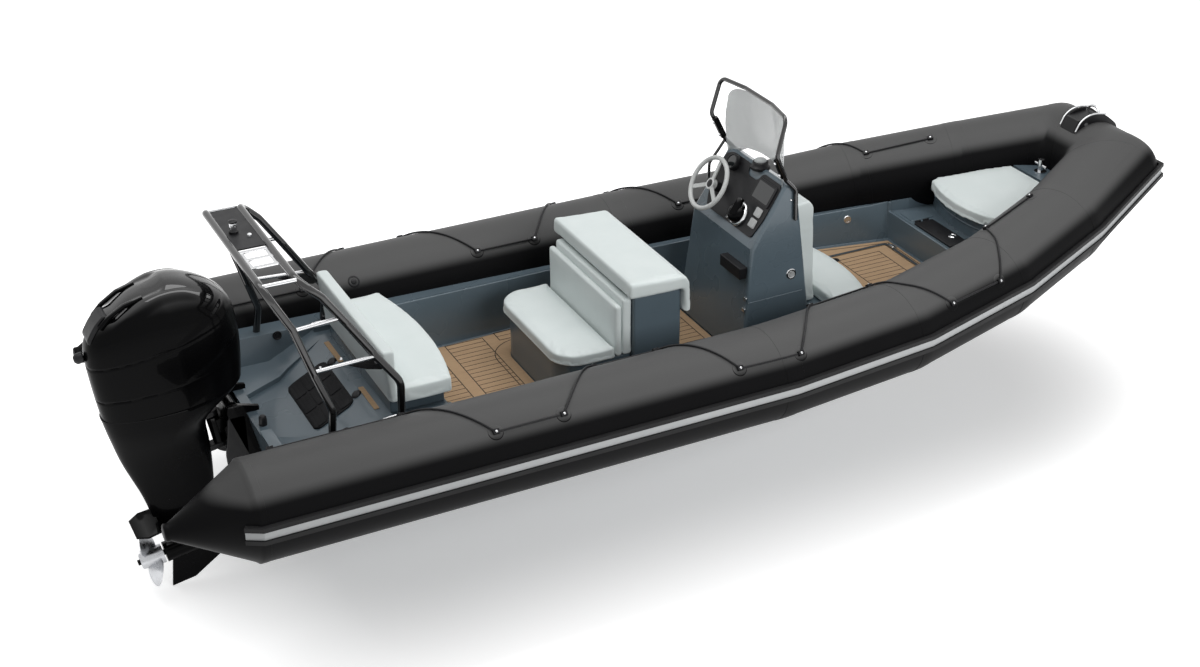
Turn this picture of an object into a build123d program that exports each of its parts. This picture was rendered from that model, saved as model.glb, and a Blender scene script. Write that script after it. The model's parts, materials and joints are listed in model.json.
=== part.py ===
from build123d import *
import math
import os

os.makedirs("parts", exist_ok=True)

# A rigid-hulled inflatable boat with an outboard motor.
# Millimetres. X runs to the bow, Y to port, Z up. The origin is on the centreline and on the waterline,
# under the aft edge of the transom's top.

LOW = (Align.CENTER, Align.CENTER, Align.MIN)
HIGH = (Align.CENTER, Align.CENTER, Align.MAX)
BEYOND = 3000.0

# ---- fits ----
CUSHION_CLEAR = 0.3
MOVING_CLEAR = 6.0
RUNNING_CLEAR = 0.06

# ---- inflatable collar ----
TUBE_RADIUS = 270.0
TUBE_HALF_SPACING = 1000.0
# x, y, z of the port tube's centreline, from the stern to the bow's corner
TUBE_NODES = [
    (-250.0, TUBE_HALF_SPACING, 260.0),
    (2754.0, TUBE_HALF_SPACING, 286.0),
    (3667.0, 928.0, 317.0),
    (4442.0, 779.0, 403.0),
    (5110.0, 546.0, 509.0),
    (5712.0, 253.0, 634.0),
]
CONE_LENGTH = 400.0
CONE_TIP_RADIUS = 46.0
CONE_CAP_LENGTH = 30.0

# ---- rubbing strake on the tube's outer side ----
STRAKE_RISE = 19.0
STRAKE_HEIGHT = 96.0
STRAKE_RIB = 24.0
STRAKE_RIB_PROUD = 22.0
STRAKE_WEB_PROUD = 8.0
STRIPE_PROUD = 12.0
STRAKE_SINK = 12.0
STRAKE_START = (-330.0, TUBE_HALF_SPACING + 225.0)

# ---- lifelines, which pass over the tubes through pairs of eyelets ----
LINE_RADIUS = 6.0
LINE_CLEAR = 1.0
LINE_WOUND_STEPS = 5
LINE_WOUND_FROM = 20.0
LINE_STRAIGHT_STEPS = 2
LINE_BREAK = 2.0
# distance along the tube from its stern end, and degrees up from its outer side, of each eyelet
EYELETS_AT = [
    (190.0, 135.0), (891.0, 135.0), (1263.0, 47.0), (1645.0, 47.0), (2002.0, 135.0), (2383.0, 135.0),
    (2692.0, 46.0), (3063.0, 44.0), (3405.0, 130.0), (3821.0, 128.0), (4121.0, 36.0), (4504.0, 33.0),
    (4804.0, 116.0), (5241.0, 112.0),
]
EYELET_SIZE = (34.0, 26.0, 24.0)
EYELET_SINK = 4.0

# ---- hull ----
TRANSOM_RAKE = 13.0
TRANSOM_TOP = 300.0
TRANSOM_INNER = 55.0
NOTCH_HALF = 420.0
# x, keel z, chine y, chine z, side y, side z, top y, top z of each section of the hull
HULL_SECTIONS = [
    (-60.0, -310.0, 700.0, -27.0, 800.0, 60.0, 765.0, 340.0),
    (2700.0, -310.0, 700.0, -20.0, 800.0, 75.0, 765.0, 305.0),
    (3600.0, -300.0, 650.0, 20.0, 740.0, 110.0, 700.0, 325.0),
    (4400.0, -210.0, 510.0, 80.0, 590.0, 200.0, 545.0, 360.0),
    (4700.0, -115.0, 405.0, 160.0, 485.0, 262.0, 442.0, 392.0),
    (4800.0, -83.0, 370.0, 192.0, 450.0, 286.0, 408.0, 600.0),
    (5000.0, -20.0, 300.0, 262.0, 380.0, 338.0, 340.0, 600.0),
    (5440.0, 250.0, 90.0, 420.0, 150.0, 470.0, 140.0, 600.0),
]
LINER_THICKNESS = 20.0

# ---- cockpit ----
SOLE_AFT = -10.0
SOLE_FORWARD = 120.0
SOLE_STEP_X = 3300.0
COCKPIT_AFT = 1010.0
COCKPIT_FORWARD = 4520.0
TEAK_THICKNESS = 6.0
TEAK_MARGIN = 24.0
TEAK_SEAT_GAP = 4.0
# x, half width at the sole, half width at the flange of the cockpit's well
WELL_SECTIONS = [
    (COCKPIT_AFT, 600.0, 640.0),
    (2700.0, 665.0, 690.0),
    (3600.0, 590.0, 630.0),
    (COCKPIT_FORWARD, 420.0, 478.0),
]

# ---- splash well in front of the motor ----
SPLASH_FLOOR = 150.0
SPLASH_LEDGE = 28.0
SPLASH_SLOPE_X = 335.0
SPLASH_END_X = 618.0
SPLASH_END_Z = 300.0
SPLASH_HALF_FLOOR = 565.0
SPLASH_HALF_TOP = 610.0
SPLASH_RIM = 345.0
# x, y of the edge of the ledge along each side of the splash well's floor
LEDGE_EDGE = [(40.0, 215.0), (391.0, 400.0), (SPLASH_END_X, 470.0)]
PAD_X = (337.0, 572.0)
PAD_HALF_WIDTH = 262.0
PAD_CORNER = 46.0
PAD_THICKNESS = 8.0

# ---- bow ----
STEP_TOP = 312.0
STEP_HALF_WIDTH = 420.0
STEP_AFT_HALF = 454.0
STEP_TAPER_X = 4660.0
STEP_WALL_SIDE_X = 4850.0
STEP_WALL_MIDDLE_X = 4752.0
BOW_DECK = [(4697.0, 446.0), (5250.0, 534.0)]
# x, y of the bow cushion's port outline, from its aft corner forward
BOW_CUSHION_AFT_SIDE = (4757.0, 340.0)
BOW_CUSHION_AFT_MIDDLE = (4697.0, 0.0)
BOW_CUSHION_CORNER = (4815.0, 357.0)
BOW_CUSHION_FORWARD = (5268.0, 192.0)
BOW_CUSHION_THICKNESS = 72.0
ANCHOR_DECK_X = 5282.0
ANCHOR_DECK_TOP = 600.0
BOW_LID_X = (4548.0, 4691.0)
BOW_LID_HALF = 195.0
LID_THICKNESS = 14.0
LID_GAP = 5.5
LID_LEDGE = 18.0
LOCKER_DEPTH = 160.0
BOLLARD_X = 5370.0
BOLLARD_HEIGHT = 84.0
BOLLARD_RADIUS = 19.0

# ---- hatch in the forward sole ----
HATCH_X = (3960.0, 4440.0)
HATCH_HALF = 345.0
HATCH_THICKNESS = 20.0
HATCH_WELL_DEPTH = 90.0

# ---- aft bench ----
BENCH_DECK_X = (SPLASH_END_X, COCKPIT_AFT)
BENCH_BASE_X = (690.0, 1000.0)
BENCH_BASE_HALF = 500.0
BENCH_BASE_TOP = 380.0
BENCH_CUSHION_HALF = 573.0
BENCH_CUSHION_TOP = 479.0
BENCH_CUSHION_AFT = 730.0
BENCH_CUSHION_FRONT = 1030.0
BENCH_CUSHION_BULGE = 78.0
BENCH_BACK_X = (640.0, 720.0)
BENCH_BACK_HALF = 550.0
BENCH_BACK_TOP = 712.0

# ---- helm seat, with the aft-facing jockey seat behind it ----
JOCKEY_AFT = 1702.0
JOCKEY_TOP = 350.0
JOCKEY_CUSHION = 76.0
JOCKEY_HALF = 470.0
JOCKEY_ROUNDING = 170.0
JOCKEY_OVERHANG = 36.0
HELM_BOX_X = (2170.0, 2470.0)
HELM_BOX_HALF = 470.0
HELM_TOP = 742.0
HELM_CUSHION = 102.0
HELM_CUSHION_X = (2120.0, 2492.0)
HELM_CUSHION_HALF = 520.0
HELM_FLAP = 150.0
HELM_BACK_AFT_X = (2064.0, 2108.0)
HELM_BACK_AFT_TOP = 600.0
HELM_BACK_HALF = 455.0
HELM_BACK_FORWARD_TOP = 636.0

# ---- console ----
CONSOLE_HALF_BOTTOM = 400.0
CONSOLE_HALF_TOP = 330.0
DASH_LOW = (3020.0, 737.0)
DASH_HIGH = (3226.0, 1070.0)
CONSOLE_FORWARD_TOP = (3305.0, 1032.0)
# x, z of the console's side outline, from its aft foot round by the dash to its forward foot
CONSOLE_SIDE = [
    (2930.0, SOLE_AFT),
    (2999.0, 700.0),
    DASH_LOW,
    DASH_HIGH,
    CONSOLE_FORWARD_TOP,
    (3385.0, 300.0),
    (3400.0, SOLE_FORWARD),
    (SOLE_STEP_X, SOLE_FORWARD),
    (SOLE_STEP_X, SOLE_AFT),
]
DASH_THICKNESS = 8.0
# across to starboard and up the slope of the dash panel's outline, from the dash's middle
DASH_OUTLINE = [
    (-306.0, 148.0), (-240.0, 180.0), (-45.0, 180.0), (-20.0, 115.0), (85.0, 115.0), (112.0, 172.0),
    (300.0, 172.0), (316.0, 150.0), (316.0, -60.0), (290.0, -185.0), (-230.0, -185.0), (-306.0, -60.0),
]
SCREEN_AT = (205.0, 80.0)
SCREEN_SIZE = (196.0, 136.0, 8.0)
SWITCHES_AT = [(247.0, -34.0), (247.0, -104.0)]
SWITCH_SIZE = (62.0, 54.0, 8.0)
GAUGE_AT = (-178.0, 126.0)
GAUGE_RADIUS = 50.0
GAUGE_HEIGHT = 36.0
THROTTLE_AT = (98.0, -106.0)
THROTTLE_RING = (74.0, 20.0)
THROTTLE_DOME = (61.0, 48.0)
COMPASS_AT = (3232.0, -28.0)
COMPASS_RADIUS = 48.0
COMPASS_TOP = 1112.0
SWITCH_BOX_X = (2935.0, 2990.0)
SWITCH_BOX_Y = (-330.0, -95.0)
SWITCH_BOX_Z = (512.0, 585.0)
WHEEL_AT = (-200.0, -50.0)
WHEEL_STAND = 96.0
WHEEL_RADIUS = 160.0
WHEEL_RIM = 14.0
WHEEL_DISH = 24.0
WHEEL_HUB_RADIUS = 36.0
WHEEL_HUB_LENGTH = 30.0
WHEEL_SHAFT = 9.0

# ---- windscreen ----
SCREEN_X = (3200.0, 3300.0)
SCREEN_HALF = 335.0
SCREEN_THICKNESS = 6.0
# y, z of the windscreen's port outline
SCREEN_OUTLINE = [(0.0, 1100.0), (300.0, 1100.0), (335.0, 1215.0), (322.0, 1385.0), (262.0, 1450.0), (0.0, 1450.0)]
FRAME_TUBE = 13.0
FRAME_BEND_RADIUS = 50.0
# x, y, z of the windscreen frame's port half, from its foot on the console to its top
FRAME_POINTS = [
    (3284.0, 357.0, 842.0),
    (3284.0, 347.0, 1021.0),
    (3209.0, 350.0, 1103.0),
    (3124.0, 381.0, 1275.0),
    (3182.0, 372.0, 1492.0),
    (3222.0, 150.0, 1494.0),
]
BRACE_TUBE = 9.0
BRACE_POINTS = [(3209.0, 350.0, 1103.0), (3106.0, 358.0, 961.0), (3102.0, 353.0, 830.0)]
CLAMP_AT = (3182.0, 344.0, 1187.0)
CLAMP_SIZE = (80.0, 44.0, 150.0)

# ---- seat in front of the console ----
FRONT_SEAT_X = (3405.0, 3780.0)
FRONT_SEAT_HALF = 420.0
FRONT_SEAT_TOP = 210.0
FRONT_CUSHION_X = (3530.0, 3790.0)
FRONT_CUSHION_HALF = 430.0
FRONT_CUSHION_TOP = 290.0
FRONT_CUSHION_BULGE = 75.0
FRONT_BACK_HALF = 255.0
# x, z of the forward backrest's side outline
FRONT_BACK_SIDE = [(3401.0, 210.3), (3521.0, 210.3), (3485.0, 850.0), (3450.0, 895.0), (3300.0, 880.0)]

# ---- roll bar ----
BAR_TUBE = 21.0
BAR_BEND_RADIUS = 90.0
# x, y, z of each hoop's port half, from its foot on the flange to its top
AFT_HOOP = [
    (298.0, 676.0, 280.0), (325.0, 650.0, 495.0), (262.0, 590.0, 690.0), (180.0, 560.0, 960.0), (50.0, 548.0, 1208.0),
]
FORWARD_HOOP = [
    (698.0, 645.0, 280.0), (712.0, 632.0, 560.0), (600.0, 545.0, 715.0), (470.0, 530.0, 920.0), (350.0, 535.0, 1100.0),
    (238.0, 545.0, 1208.0),
]
RUNG_RADIUS = 11.0
# aft end and forward end of each port rung
RUNGS = [
    ((181.0, 560.0, 955.0), (447.0, 531.0, 955.0)),
    ((257.0, 588.0, 708.0), (606.0, 557.0, 702.0)),
    ((50.0, 505.0, 1208.0), (238.0, 505.0, 1208.0)),
]
GUSSET_THICKNESS = 8.0
# x, z of the gusset under the middle rung
GUSSET_SIDE = [(430.0, 697.0), (606.0, 697.0), (664.0, 630.0), (632.0, 618.0), (552.0, 640.0)]
BAR_PLATE_X = (50.0, 238.0)
BAR_PLATE_Y = (-50.0, 470.0)
BAR_PLATE_THICKNESS = 8.0
LANTERN_AT = (112.0, 163.0)
LANTERN_RADIUS = 26.0
LANTERN_HEIGHT = 74.0

# ---- motor, drawn upright about its tilt pivot, then tilted ----
TILT_PIVOT = (-70.0, 0.0, 330.0)
TRIM_DEG = -10.0
PIVOT_PIN = 15.0
PIVOT_PIN_LENGTH = 276.0
CLAMP_PLATE_Y = (118.0, 140.0)
STEER_X = -95.0
SWIVEL_HEAD = (34.0, 200.0)
SWIVEL_TUBE_RADIUS = 40.0
SWIVEL_TUBE_Z = (-220.0, -62.0)
SWIVEL_GUSSET_HALF = 66.0
STEER_SHAFT = 20.0
STEER_YOKE = 32.0
ANTI_VENTILATION_Z = -560.0
PROPELLER_AT = (-584.0, 0.0, -776.0)
PROPELLER_BLADES = 3
PROPELLER_RADIUS = 176.0
PROPELLER_HUB_LENGTH = 130.0
PROPELLER_SHAFT = 16.0
HOUSING_RADIUS = 58.0
HOUSING_LENGTH = 280.0
NOSE_LENGTH = 90.0
NOSE_RADIUS = 20.0
# x, half width of the lower leg's port outline, and of the plate over the propeller
STRUT_PLAN = [(-240.0, 26.0), (-400.0, 44.0), (-560.0, 30.0)]
STRUT_FOOT_PLAN = [(-260.0, 21.0), (-420.0, 35.0), (-560.0, 24.0)]
STRUT_FOOT_RISE = 16.0
PLATE_PLAN = [(-200.0, 40.0), (-330.0, 105.0), (-640.0, 130.0), (-700.0, 90.0)]
PLATE_THICKNESS = 12.0
# x, z of the skeg's side outline
SKEG_SIDE = [(-230.0, -800.0), (-287.0, -923.0), (-466.0, -1007.0), (-602.0, -1008.0), (-540.0, -800.0)]
SKEG_THICKNESS = 14.0
# across and out from the propeller's axis, of a blade's outline
BLADE_OUTLINE = [
    (-46.0, 20.0), (46.0, 20.0), (78.0, 110.0), (40.0, PROPELLER_RADIUS), (-40.0, PROPELLER_RADIUS), (-66.0, 110.0),
]
BLADE_THICKNESS = 10.0
BLADE_PITCH = 28.0
# z, aft x, forward x, half width, half width aft of each level
COWL_PAN_LEVELS = [
    (-20.0, -560.0, -150.0, 150.0, 90.0),
    (60.0, -640.0, -40.0, 205.0, 130.0),
    (150.0, -642.0, 100.0, 236.0, 150.0),
    (170.0, -640.0, 118.0, 238.0, 152.0),
]
COWL_TOP_LEVELS = [
    (170.0, -640.0, 118.0, 242.0, 155.0),
    (380.0, -626.0, 168.0, 252.0, 160.0),
    (610.0, -590.0, 175.0, 246.0, 155.0),
    (700.0, -490.0, 80.0, 205.0, 130.0),
    (760.0, -390.0, -5.0, 160.0, 100.0),
    (840.0, -150.0, -95.0, 60.0, 40.0),
]
LEG_LEVELS = [
    (-20.0, -640.0, -146.0, 130.0, 95.0),
    (-130.0, -631.0, -146.0, 120.0, 85.0),
    (-330.0, -590.0, -175.0, 75.0, 60.0),
    (-520.0, -575.0, -215.0, 55.0, 45.0),
]
ENGINE_X = (-520.0, 40.0)
ENGINE_Y = (-170.0, 170.0)
ENGINE_TOP = 640.0
ENGINE_CLEAR = 5.0


def polygon(points):
    return make_face(Polyline(*points, close=True))


def side_prism(points, y_low, y_high):
    """A side outline of (x, z) points, carried across the boat."""
    face = polygon([(x, y_high, z) for x, z in points])
    return extrude(face, amount=y_high - y_low, dir=(0, -1, 0))


def plan_prism(points, z_low, z_high):
    """A plan outline of (x, y) points, carried up."""
    face = polygon([(x, y, z_low) for x, y in points])
    return extrude(face, amount=z_high - z_low, dir=(0, 0, 1))


def front_prism(points, x_low, x_high):
    """A front outline of (y, z) points, carried forward."""
    face = polygon([(x_low, y, z) for y, z in points])
    return extrude(face, amount=x_high - x_low, dir=(1, 0, 0))


def block(x_span, y_span, z_span):
    size = [high - low for low, high in (x_span, y_span, z_span)]
    centre = [(high + low) / 2 for low, high in (x_span, y_span, z_span)]
    return Pos(*centre) * Box(*size)


def both(half):
    """The span from -half to half."""
    return (-half, half)


def grown(span, gap):
    return (span[0] - gap, span[1] + gap)


def mirrored(points):
    """A half outline on the port side, closed on the starboard side."""
    return points + [(x, -y) for x, y in reversed(points)]


def mirrored_run(points):
    """A run of (x, y, z) points up the port side and down the starboard side."""
    return points + [(x, -y, z) for x, y, z in reversed(points)]


def bent_tube(points, radius, bends):
    path = FilletPolyline(*points, radius=bends)
    profile = Plane(origin=path @ 0, z_dir=path % 0) * Circle(radius)
    return sweep(profile, path=path)


def straight_bar(start, end, radius):
    axis = Vector(*end) - Vector(*start)
    return Plane(origin=start, z_dir=axis) * Cylinder(radius, axis.length, align=LOW)


def starboard(shape):
    return mirror(shape, about=Plane.XZ)


def pair(shape):
    """A port piece and its mirror image, as two solids of one node."""
    return Compound(children=[*shape.solids(), *starboard(shape).solids()])


# ---------------------------------------------------------------- collar


def tube_directions():
    """Unit directions of the collar's runs, with the bow tube's last."""
    runs = [Vector(*b) - Vector(*a) for a, b in zip(TUBE_NODES, TUBE_NODES[1:])]
    return [run.normalized() for run in runs] + [Vector(0, -1, 0)]


def bow_mitre():
    """The port plane in which the side tube meets the bow tube; it faces forward and inboard."""
    before, after = tube_directions()[-2:]
    return Plane(origin=TUBE_NODES[-1], z_dir=(before + after).normalized())


def collar_port(grow=0.0):
    """The port tube as cylinders that meet in mitres, with the stern cone."""
    radius = TUBE_RADIUS + grow
    stern = Vector(*TUBE_NODES[0])
    end = Vector(*TUBE_NODES[-1]) + tube_directions()[-2] * (2 * radius)
    path = Polyline(*TUBE_NODES[:-1], tuple(end))
    profile = Plane(origin=stern, z_dir=path % 0) * Circle(radius)
    body = sweep(profile, path=path, transition=Transition.RIGHT)
    body = split(body, bisect_by=bow_mitre(), keep=Keep.BOTTOM)
    aft = Plane(origin=stern, z_dir=-(path % 0))
    cone = aft * Cone(radius, CONE_TIP_RADIUS, CONE_LENGTH, align=LOW)
    cap = aft * Pos(0, 0, CONE_LENGTH) * Cylinder(CONE_TIP_RADIUS, CONE_CAP_LENGTH, align=LOW)
    return body + cone + cap


def collar_bow(grow=0.0):
    """The tube across the bow, cut by both mitres."""
    x, y, z = TUBE_NODES[-1]
    body = Pos(x, 0, z) * Rot(90, 0, 0) * Cylinder(TUBE_RADIUS + grow, 2 * (y + 2 * TUBE_RADIUS))
    port = bow_mitre()
    other = Plane(origin=(x, -y, z), z_dir=(port.z_dir.X, -port.z_dir.Y, port.z_dir.Z))
    body = split(body, bisect_by=port, keep=Keep.TOP)
    return split(body, bisect_by=other, keep=Keep.TOP)


def strake_line():
    """Points on the port tube's outer side, at its mid height, round to the bow's centre."""
    runs = tube_directions()
    height = TUBE_NODES[0][2] + STRAKE_RISE
    points = [
        Vector(*STRAKE_START, height),
        Vector(TUBE_NODES[0][0], TUBE_HALF_SPACING + TUBE_RADIUS, height),
    ]
    for node, before, after in zip(TUBE_NODES[1:], runs, runs[1:]):
        flat = Vector(before.X + after.X, before.Y + after.Y, 0).normalized()
        out = Vector(-flat.Y, flat.X, 0)
        half_turn = math.acos(max(-1.0, min(1.0, before.dot(after)))) / 2
        rise = Vector(0, 0, STRAKE_RISE)
        points.append(Vector(*node) + out * (TUBE_RADIUS / math.cos(half_turn)) + rise)
    x, _, z = TUBE_NODES[-1]
    points.append(Vector(x + TUBE_RADIUS, 0, z + STRAKE_RISE))
    return points


def strake_sweep(bottom, top, inner, outer):
    """A bar along the strake's line, from bottom to top and from inner to outer off the tube."""
    points = strake_line()
    path = Polyline(*points)
    plane = Plane(origin=points[0], x_dir=(0, 1, 0), z_dir=path % 0)
    face = plane * Pos((inner + outer) / 2, (bottom + top) / 2) * Rectangle(outer - inner, top - bottom)
    bar = sweep(face, path=path, transition=Transition.RIGHT)
    port_half = block((-BEYOND, 3 * BEYOND), (1.0, BEYOND), (-BEYOND, BEYOND))
    return bar & port_half


def strake_port(tubes):
    half = STRAKE_HEIGHT / 2
    bar = strake_sweep(-half, half, -STRAKE_SINK, STRAKE_WEB_PROUD)
    bar += strake_sweep(half - STRAKE_RIB, half, -STRAKE_SINK, STRAKE_RIB_PROUD)
    bar += strake_sweep(-half, -half + STRAKE_RIB, -STRAKE_SINK, STRAKE_RIB_PROUD)
    for tube in tubes:
        bar -= tube
    return bar


def stripe_port():
    half = STRAKE_HEIGHT / 2 - STRAKE_RIB
    return strake_sweep(-half, half, STRAKE_WEB_PROUD, STRIPE_PROUD)


def on_collar(distance, angle, radius):
    """A point off the port tube's centreline, and the direction out from it there."""
    nodes = [Vector(*node) for node in TUBE_NODES]
    for before, after in zip(nodes, nodes[1:]):
        run = after - before
        if distance <= run.length:
            break
        distance -= run.length
    ahead = run.normalized()
    up = (Vector(0, 0, 1) - ahead * ahead.Z).normalized()
    turn = math.radians(angle)
    away = up.cross(ahead) * math.cos(turn) + up * math.sin(turn)
    return before + ahead * distance + away * radius, away


def lifeline(tubes):
    """The port rope's spans, straight between the eyelets of a pair and wound over the tube to the next pair."""
    radius = TUBE_RADIUS + LINE_RADIUS + LINE_CLEAR
    spans = []
    for (start, low), (end, high) in zip(EYELETS_AT, EYELETS_AT[1:]):
        steps = LINE_WOUND_STEPS if abs(high - low) > LINE_WOUND_FROM else LINE_STRAIGHT_STEPS
        length = end - start - LINE_BREAK
        points = []
        for step in range(steps + 1):
            part = step / steps
            place = start + LINE_BREAK / 2 + part * length
            points.append(on_collar(place, low + part * (high - low), radius)[0])
        path = Spline(*points)
        span = sweep(Plane(origin=path @ 0, z_dir=path % 0) * Circle(LINE_RADIUS), path=path)
        for tube in tubes:
            span -= tube
        spans.append(span.solids().sort_by(SortBy.VOLUME)[-1])
    return spans


def eyelets(spans, tubes):
    """The port rubber loops that hold the rope down."""
    loops = []
    for place, (distance, angle) in enumerate(EYELETS_AT):
        foot, away = on_collar(distance, angle, TUBE_RADIUS - EYELET_SINK)
        ahead = on_collar(distance + EYELET_SINK, angle, TUBE_RADIUS - EYELET_SINK)[0] - foot
        loop = Plane(origin=foot, x_dir=ahead, z_dir=away) * Box(*EYELET_SIZE, align=LOW)
        for other in (*spans[max(place - 1, 0) : place + 1], *tubes):
            loop -= other
        loops.append(loop.solids().sort_by(SortBy.VOLUME)[-1])
    return loops


# ---------------------------------------------------------------- hull


def hull_section(x, keel_z, chine_y, chine_z, side_y, side_z, top_y, top_z):
    port = [(0.0, keel_z), (chine_y, chine_z), (side_y, side_z), (top_y, top_z)]
    ring = port + [(-y, z) for y, z in reversed(port[1:])]
    return polygon([(x, y, z) for y, z in ring])


def hull_form():
    """The hull's whole outside form, up to the flange beside the tubes."""
    form = loft([hull_section(*row) for row in HULL_SECTIONS], ruled=True)
    rake = math.tan(math.radians(TRANSOM_RAKE))
    low, high = -BEYOND / 3, BEYOND / 3
    behind = side_prism(
        [
            (-BEYOND, high),
            (-BEYOND, low),
            ((TRANSOM_TOP - low) * rake, low),
            ((TRANSOM_TOP - high) * rake, high),
        ],
        -BEYOND,
        BEYOND,
    )
    return form - behind


def well_section(x, floor_half, top_half, floor, top):
    return polygon([(x, -floor_half, floor), (x, floor_half, floor), (x, top_half, top), (x, -top_half, top)])


def well_form(grow):
    """The cockpit's well; grow is added all round for the liner's outside."""
    rows = [
        (x - grow * (x == COCKPIT_AFT) + grow * (x == COCKPIT_FORWARD), low + grow, high + grow)
        for x, low, high in WELL_SECTIONS
    ]
    return loft([well_section(x, low, high, SOLE_AFT - grow, 460.0) for x, low, high in rows], ruled=True)


def raised_sole():
    """The raised forward floor, as a block wider than the well."""
    return block((SOLE_STEP_X, 2 * BEYOND), both(BEYOND), (-BEYOND, SOLE_FORWARD))


def bow_step_space():
    """The space over the bow step, open aft to the cockpit, closed forward by a wall that curves in plan."""
    aft = COCKPIT_FORWARD - LINER_THICKNESS
    half = STEP_HALF_WIDTH
    wide, taper = STEP_AFT_HALF, STEP_TAPER_X
    side = STEP_WALL_SIDE_X
    edges = [
        Line((aft, wide), (taper, half)),
        Line((taper, half), (side, half)),
        ThreePointArc((side, half), (STEP_WALL_MIDDLE_X, 0), (side, -half)),
        Line((side, -half), (taper, -half)),
        Line((taper, -half), (aft, -wide)),
        Line((aft, -wide), (aft, wide)),
    ]
    return extrude(Pos(0, 0, STEP_TOP) * make_face(edges), amount=400)


def above_bow_deck():
    (aft, low), (forward, high) = BOW_DECK
    top = high + BEYOND
    outline = [(aft, low), (forward, high), (ANCHOR_DECK_X, high), (ANCHOR_DECK_X, top), (aft, top)]
    return side_prism(outline, -BEYOND, BEYOND)


def splash_floor(raise_by):
    """Side outline of the splash well over a floor that climbs forward to the bench's deck."""
    return [
        (TRANSOM_INNER, SPLASH_FLOOR + raise_by),
        (SPLASH_SLOPE_X, SPLASH_FLOOR + raise_by),
        (SPLASH_END_X, SPLASH_END_Z),
        (SPLASH_END_X, BEYOND / 3),
        (TRANSOM_INNER, BEYOND / 3),
    ]


def splash_well():
    """The well in front of the transom: a sunk middle between two ledges."""
    wide = side_prism(splash_floor(SPLASH_LEDGE), -BEYOND / 3, BEYOND / 3)
    port = [(SPLASH_HALF_FLOOR, 0.0), (SPLASH_HALF_FLOOR, SPLASH_FLOOR), (SPLASH_HALF_TOP, SPLASH_RIM)]
    port.append((SPLASH_HALF_TOP, BEYOND / 3))
    wide &= front_prism([*port, *[(-y, z) for y, z in reversed(port)]], 0.0, BEYOND / 3)
    middle = side_prism(splash_floor(0.0), -BEYOND / 3, BEYOND / 3)
    middle &= plan_prism(mirrored(LEDGE_EDGE), 0.0, BEYOND / 3)
    return wide + middle


def bench_deck_space():
    """The space over the deck that carries the bench."""
    return block(grown(BENCH_DECK_X, 1.0), both(SPLASH_HALF_FLOOR), (SPLASH_END_Z, BEYOND / 3))


def lid_space(x_span, half, gap, z_span):
    """The space for a lid of the given plan, or for the locker under its ledge if the gap is negative."""
    return block(grown(x_span, gap), both(half + gap), z_span)


def hull(tubes):
    shape = hull_form() - well_form(LINER_THICKNESS)
    shape -= block((-BEYOND, TRANSOM_INNER + 5), both(NOTCH_HALF), (TRANSOM_TOP, 500))
    shape -= splash_well()
    shape -= bench_deck_space()
    shape -= bow_step_space()
    shape -= above_bow_deck()
    shape -= lid_space(BOW_LID_X, BOW_LID_HALF, -LID_LEDGE, (STEP_TOP - LOCKER_DEPTH, STEP_TOP + 1))
    for tube in tubes:
        shape -= tube
    return shape


def liner(tubes):
    """The inner moulding: floor, raised forward floor and walls."""
    shape = well_form(LINER_THICKNESS) & hull_form()
    shape -= well_form(0.0) - raised_sole()
    shape -= bench_deck_space()
    shape -= bow_step_space()
    ledge = SOLE_FORWARD - HATCH_THICKNESS
    shape -= lid_space(HATCH_X, HATCH_HALF, LID_GAP, (ledge, SOLE_FORWARD + 1))
    shape -= lid_space(HATCH_X, HATCH_HALF, -LID_LEDGE, (SOLE_FORWARD - HATCH_WELL_DEPTH, ledge + 1))
    for tube in tubes:
        shape -= tube
    return shape


def teak_aft():
    """The planked covering of the aft floor, round the seats' bases."""
    z = SOLE_AFT
    aft = COCKPIT_AFT + TEAK_MARGIN
    forward = CONSOLE_SIDE[0][0] - CUSHION_CLEAR
    half_aft = WELL_SECTIONS[0][1] - TEAK_MARGIN
    half_forward = WELL_SECTIONS[1][1] - TEAK_MARGIN
    sheet = plan_prism(mirrored([(aft, half_aft), (forward, half_forward)]), z, z + TEAK_THICKNESS)
    gap = TEAK_SEAT_GAP
    sheet -= block(grown(HELM_BOX_X, gap), both(HELM_BOX_HALF + gap), both(BEYOND))
    plan = offset(make_face(jockey_plan(JOCKEY_OVERHANG)), amount=gap, kind=Kind.ARC)
    return sheet - extrude(Pos(0, 0, z - 1) * plan, amount=TEAK_THICKNESS + 2)


def teak_forward():
    z = SOLE_FORWARD
    rows = WELL_SECTIONS[2:]
    aft = CONSOLE_SIDE[6][0] + 20
    corners = [(x - TEAK_MARGIN * (x == COCKPIT_FORWARD), half - TEAK_MARGIN) for x, half, _ in rows]
    sheet = plan_prism(mirrored([(aft, corners[0][1]), *corners]), z, z + TEAK_THICKNESS)
    sheet -= lid_space(HATCH_X, HATCH_HALF, LID_GAP, both(BEYOND))
    return sheet - block((SOLE_STEP_X, FRONT_SEAT_X[1] + TEAK_SEAT_GAP), both(FRONT_SEAT_HALF + TEAK_SEAT_GAP), both(BEYOND))


def splash_pad():
    """The non-slip pad on the splash well's slope."""
    rise = SPLASH_END_Z - SPLASH_FLOOR
    run = SPLASH_END_X - SPLASH_SLOPE_X
    low = [SPLASH_FLOOR + (x - SPLASH_SLOPE_X) * rise / run for x in PAD_X]
    outline = [(PAD_X[0], low[0]), (PAD_X[1], low[1])]
    outline += [(PAD_X[1], low[1] + PAD_THICKNESS), (PAD_X[0], low[0] + PAD_THICKNESS)]
    slab = side_prism(outline, -PAD_HALF_WIDTH, PAD_HALF_WIDTH)
    middle = (PAD_X[0] + PAD_X[1]) / 2
    plan = RectangleRounded(PAD_X[1] - PAD_X[0], 2 * PAD_HALF_WIDTH, PAD_CORNER)
    return slab & extrude(Pos(middle, 0, 0) * plan, amount=BEYOND / 3)


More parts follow.
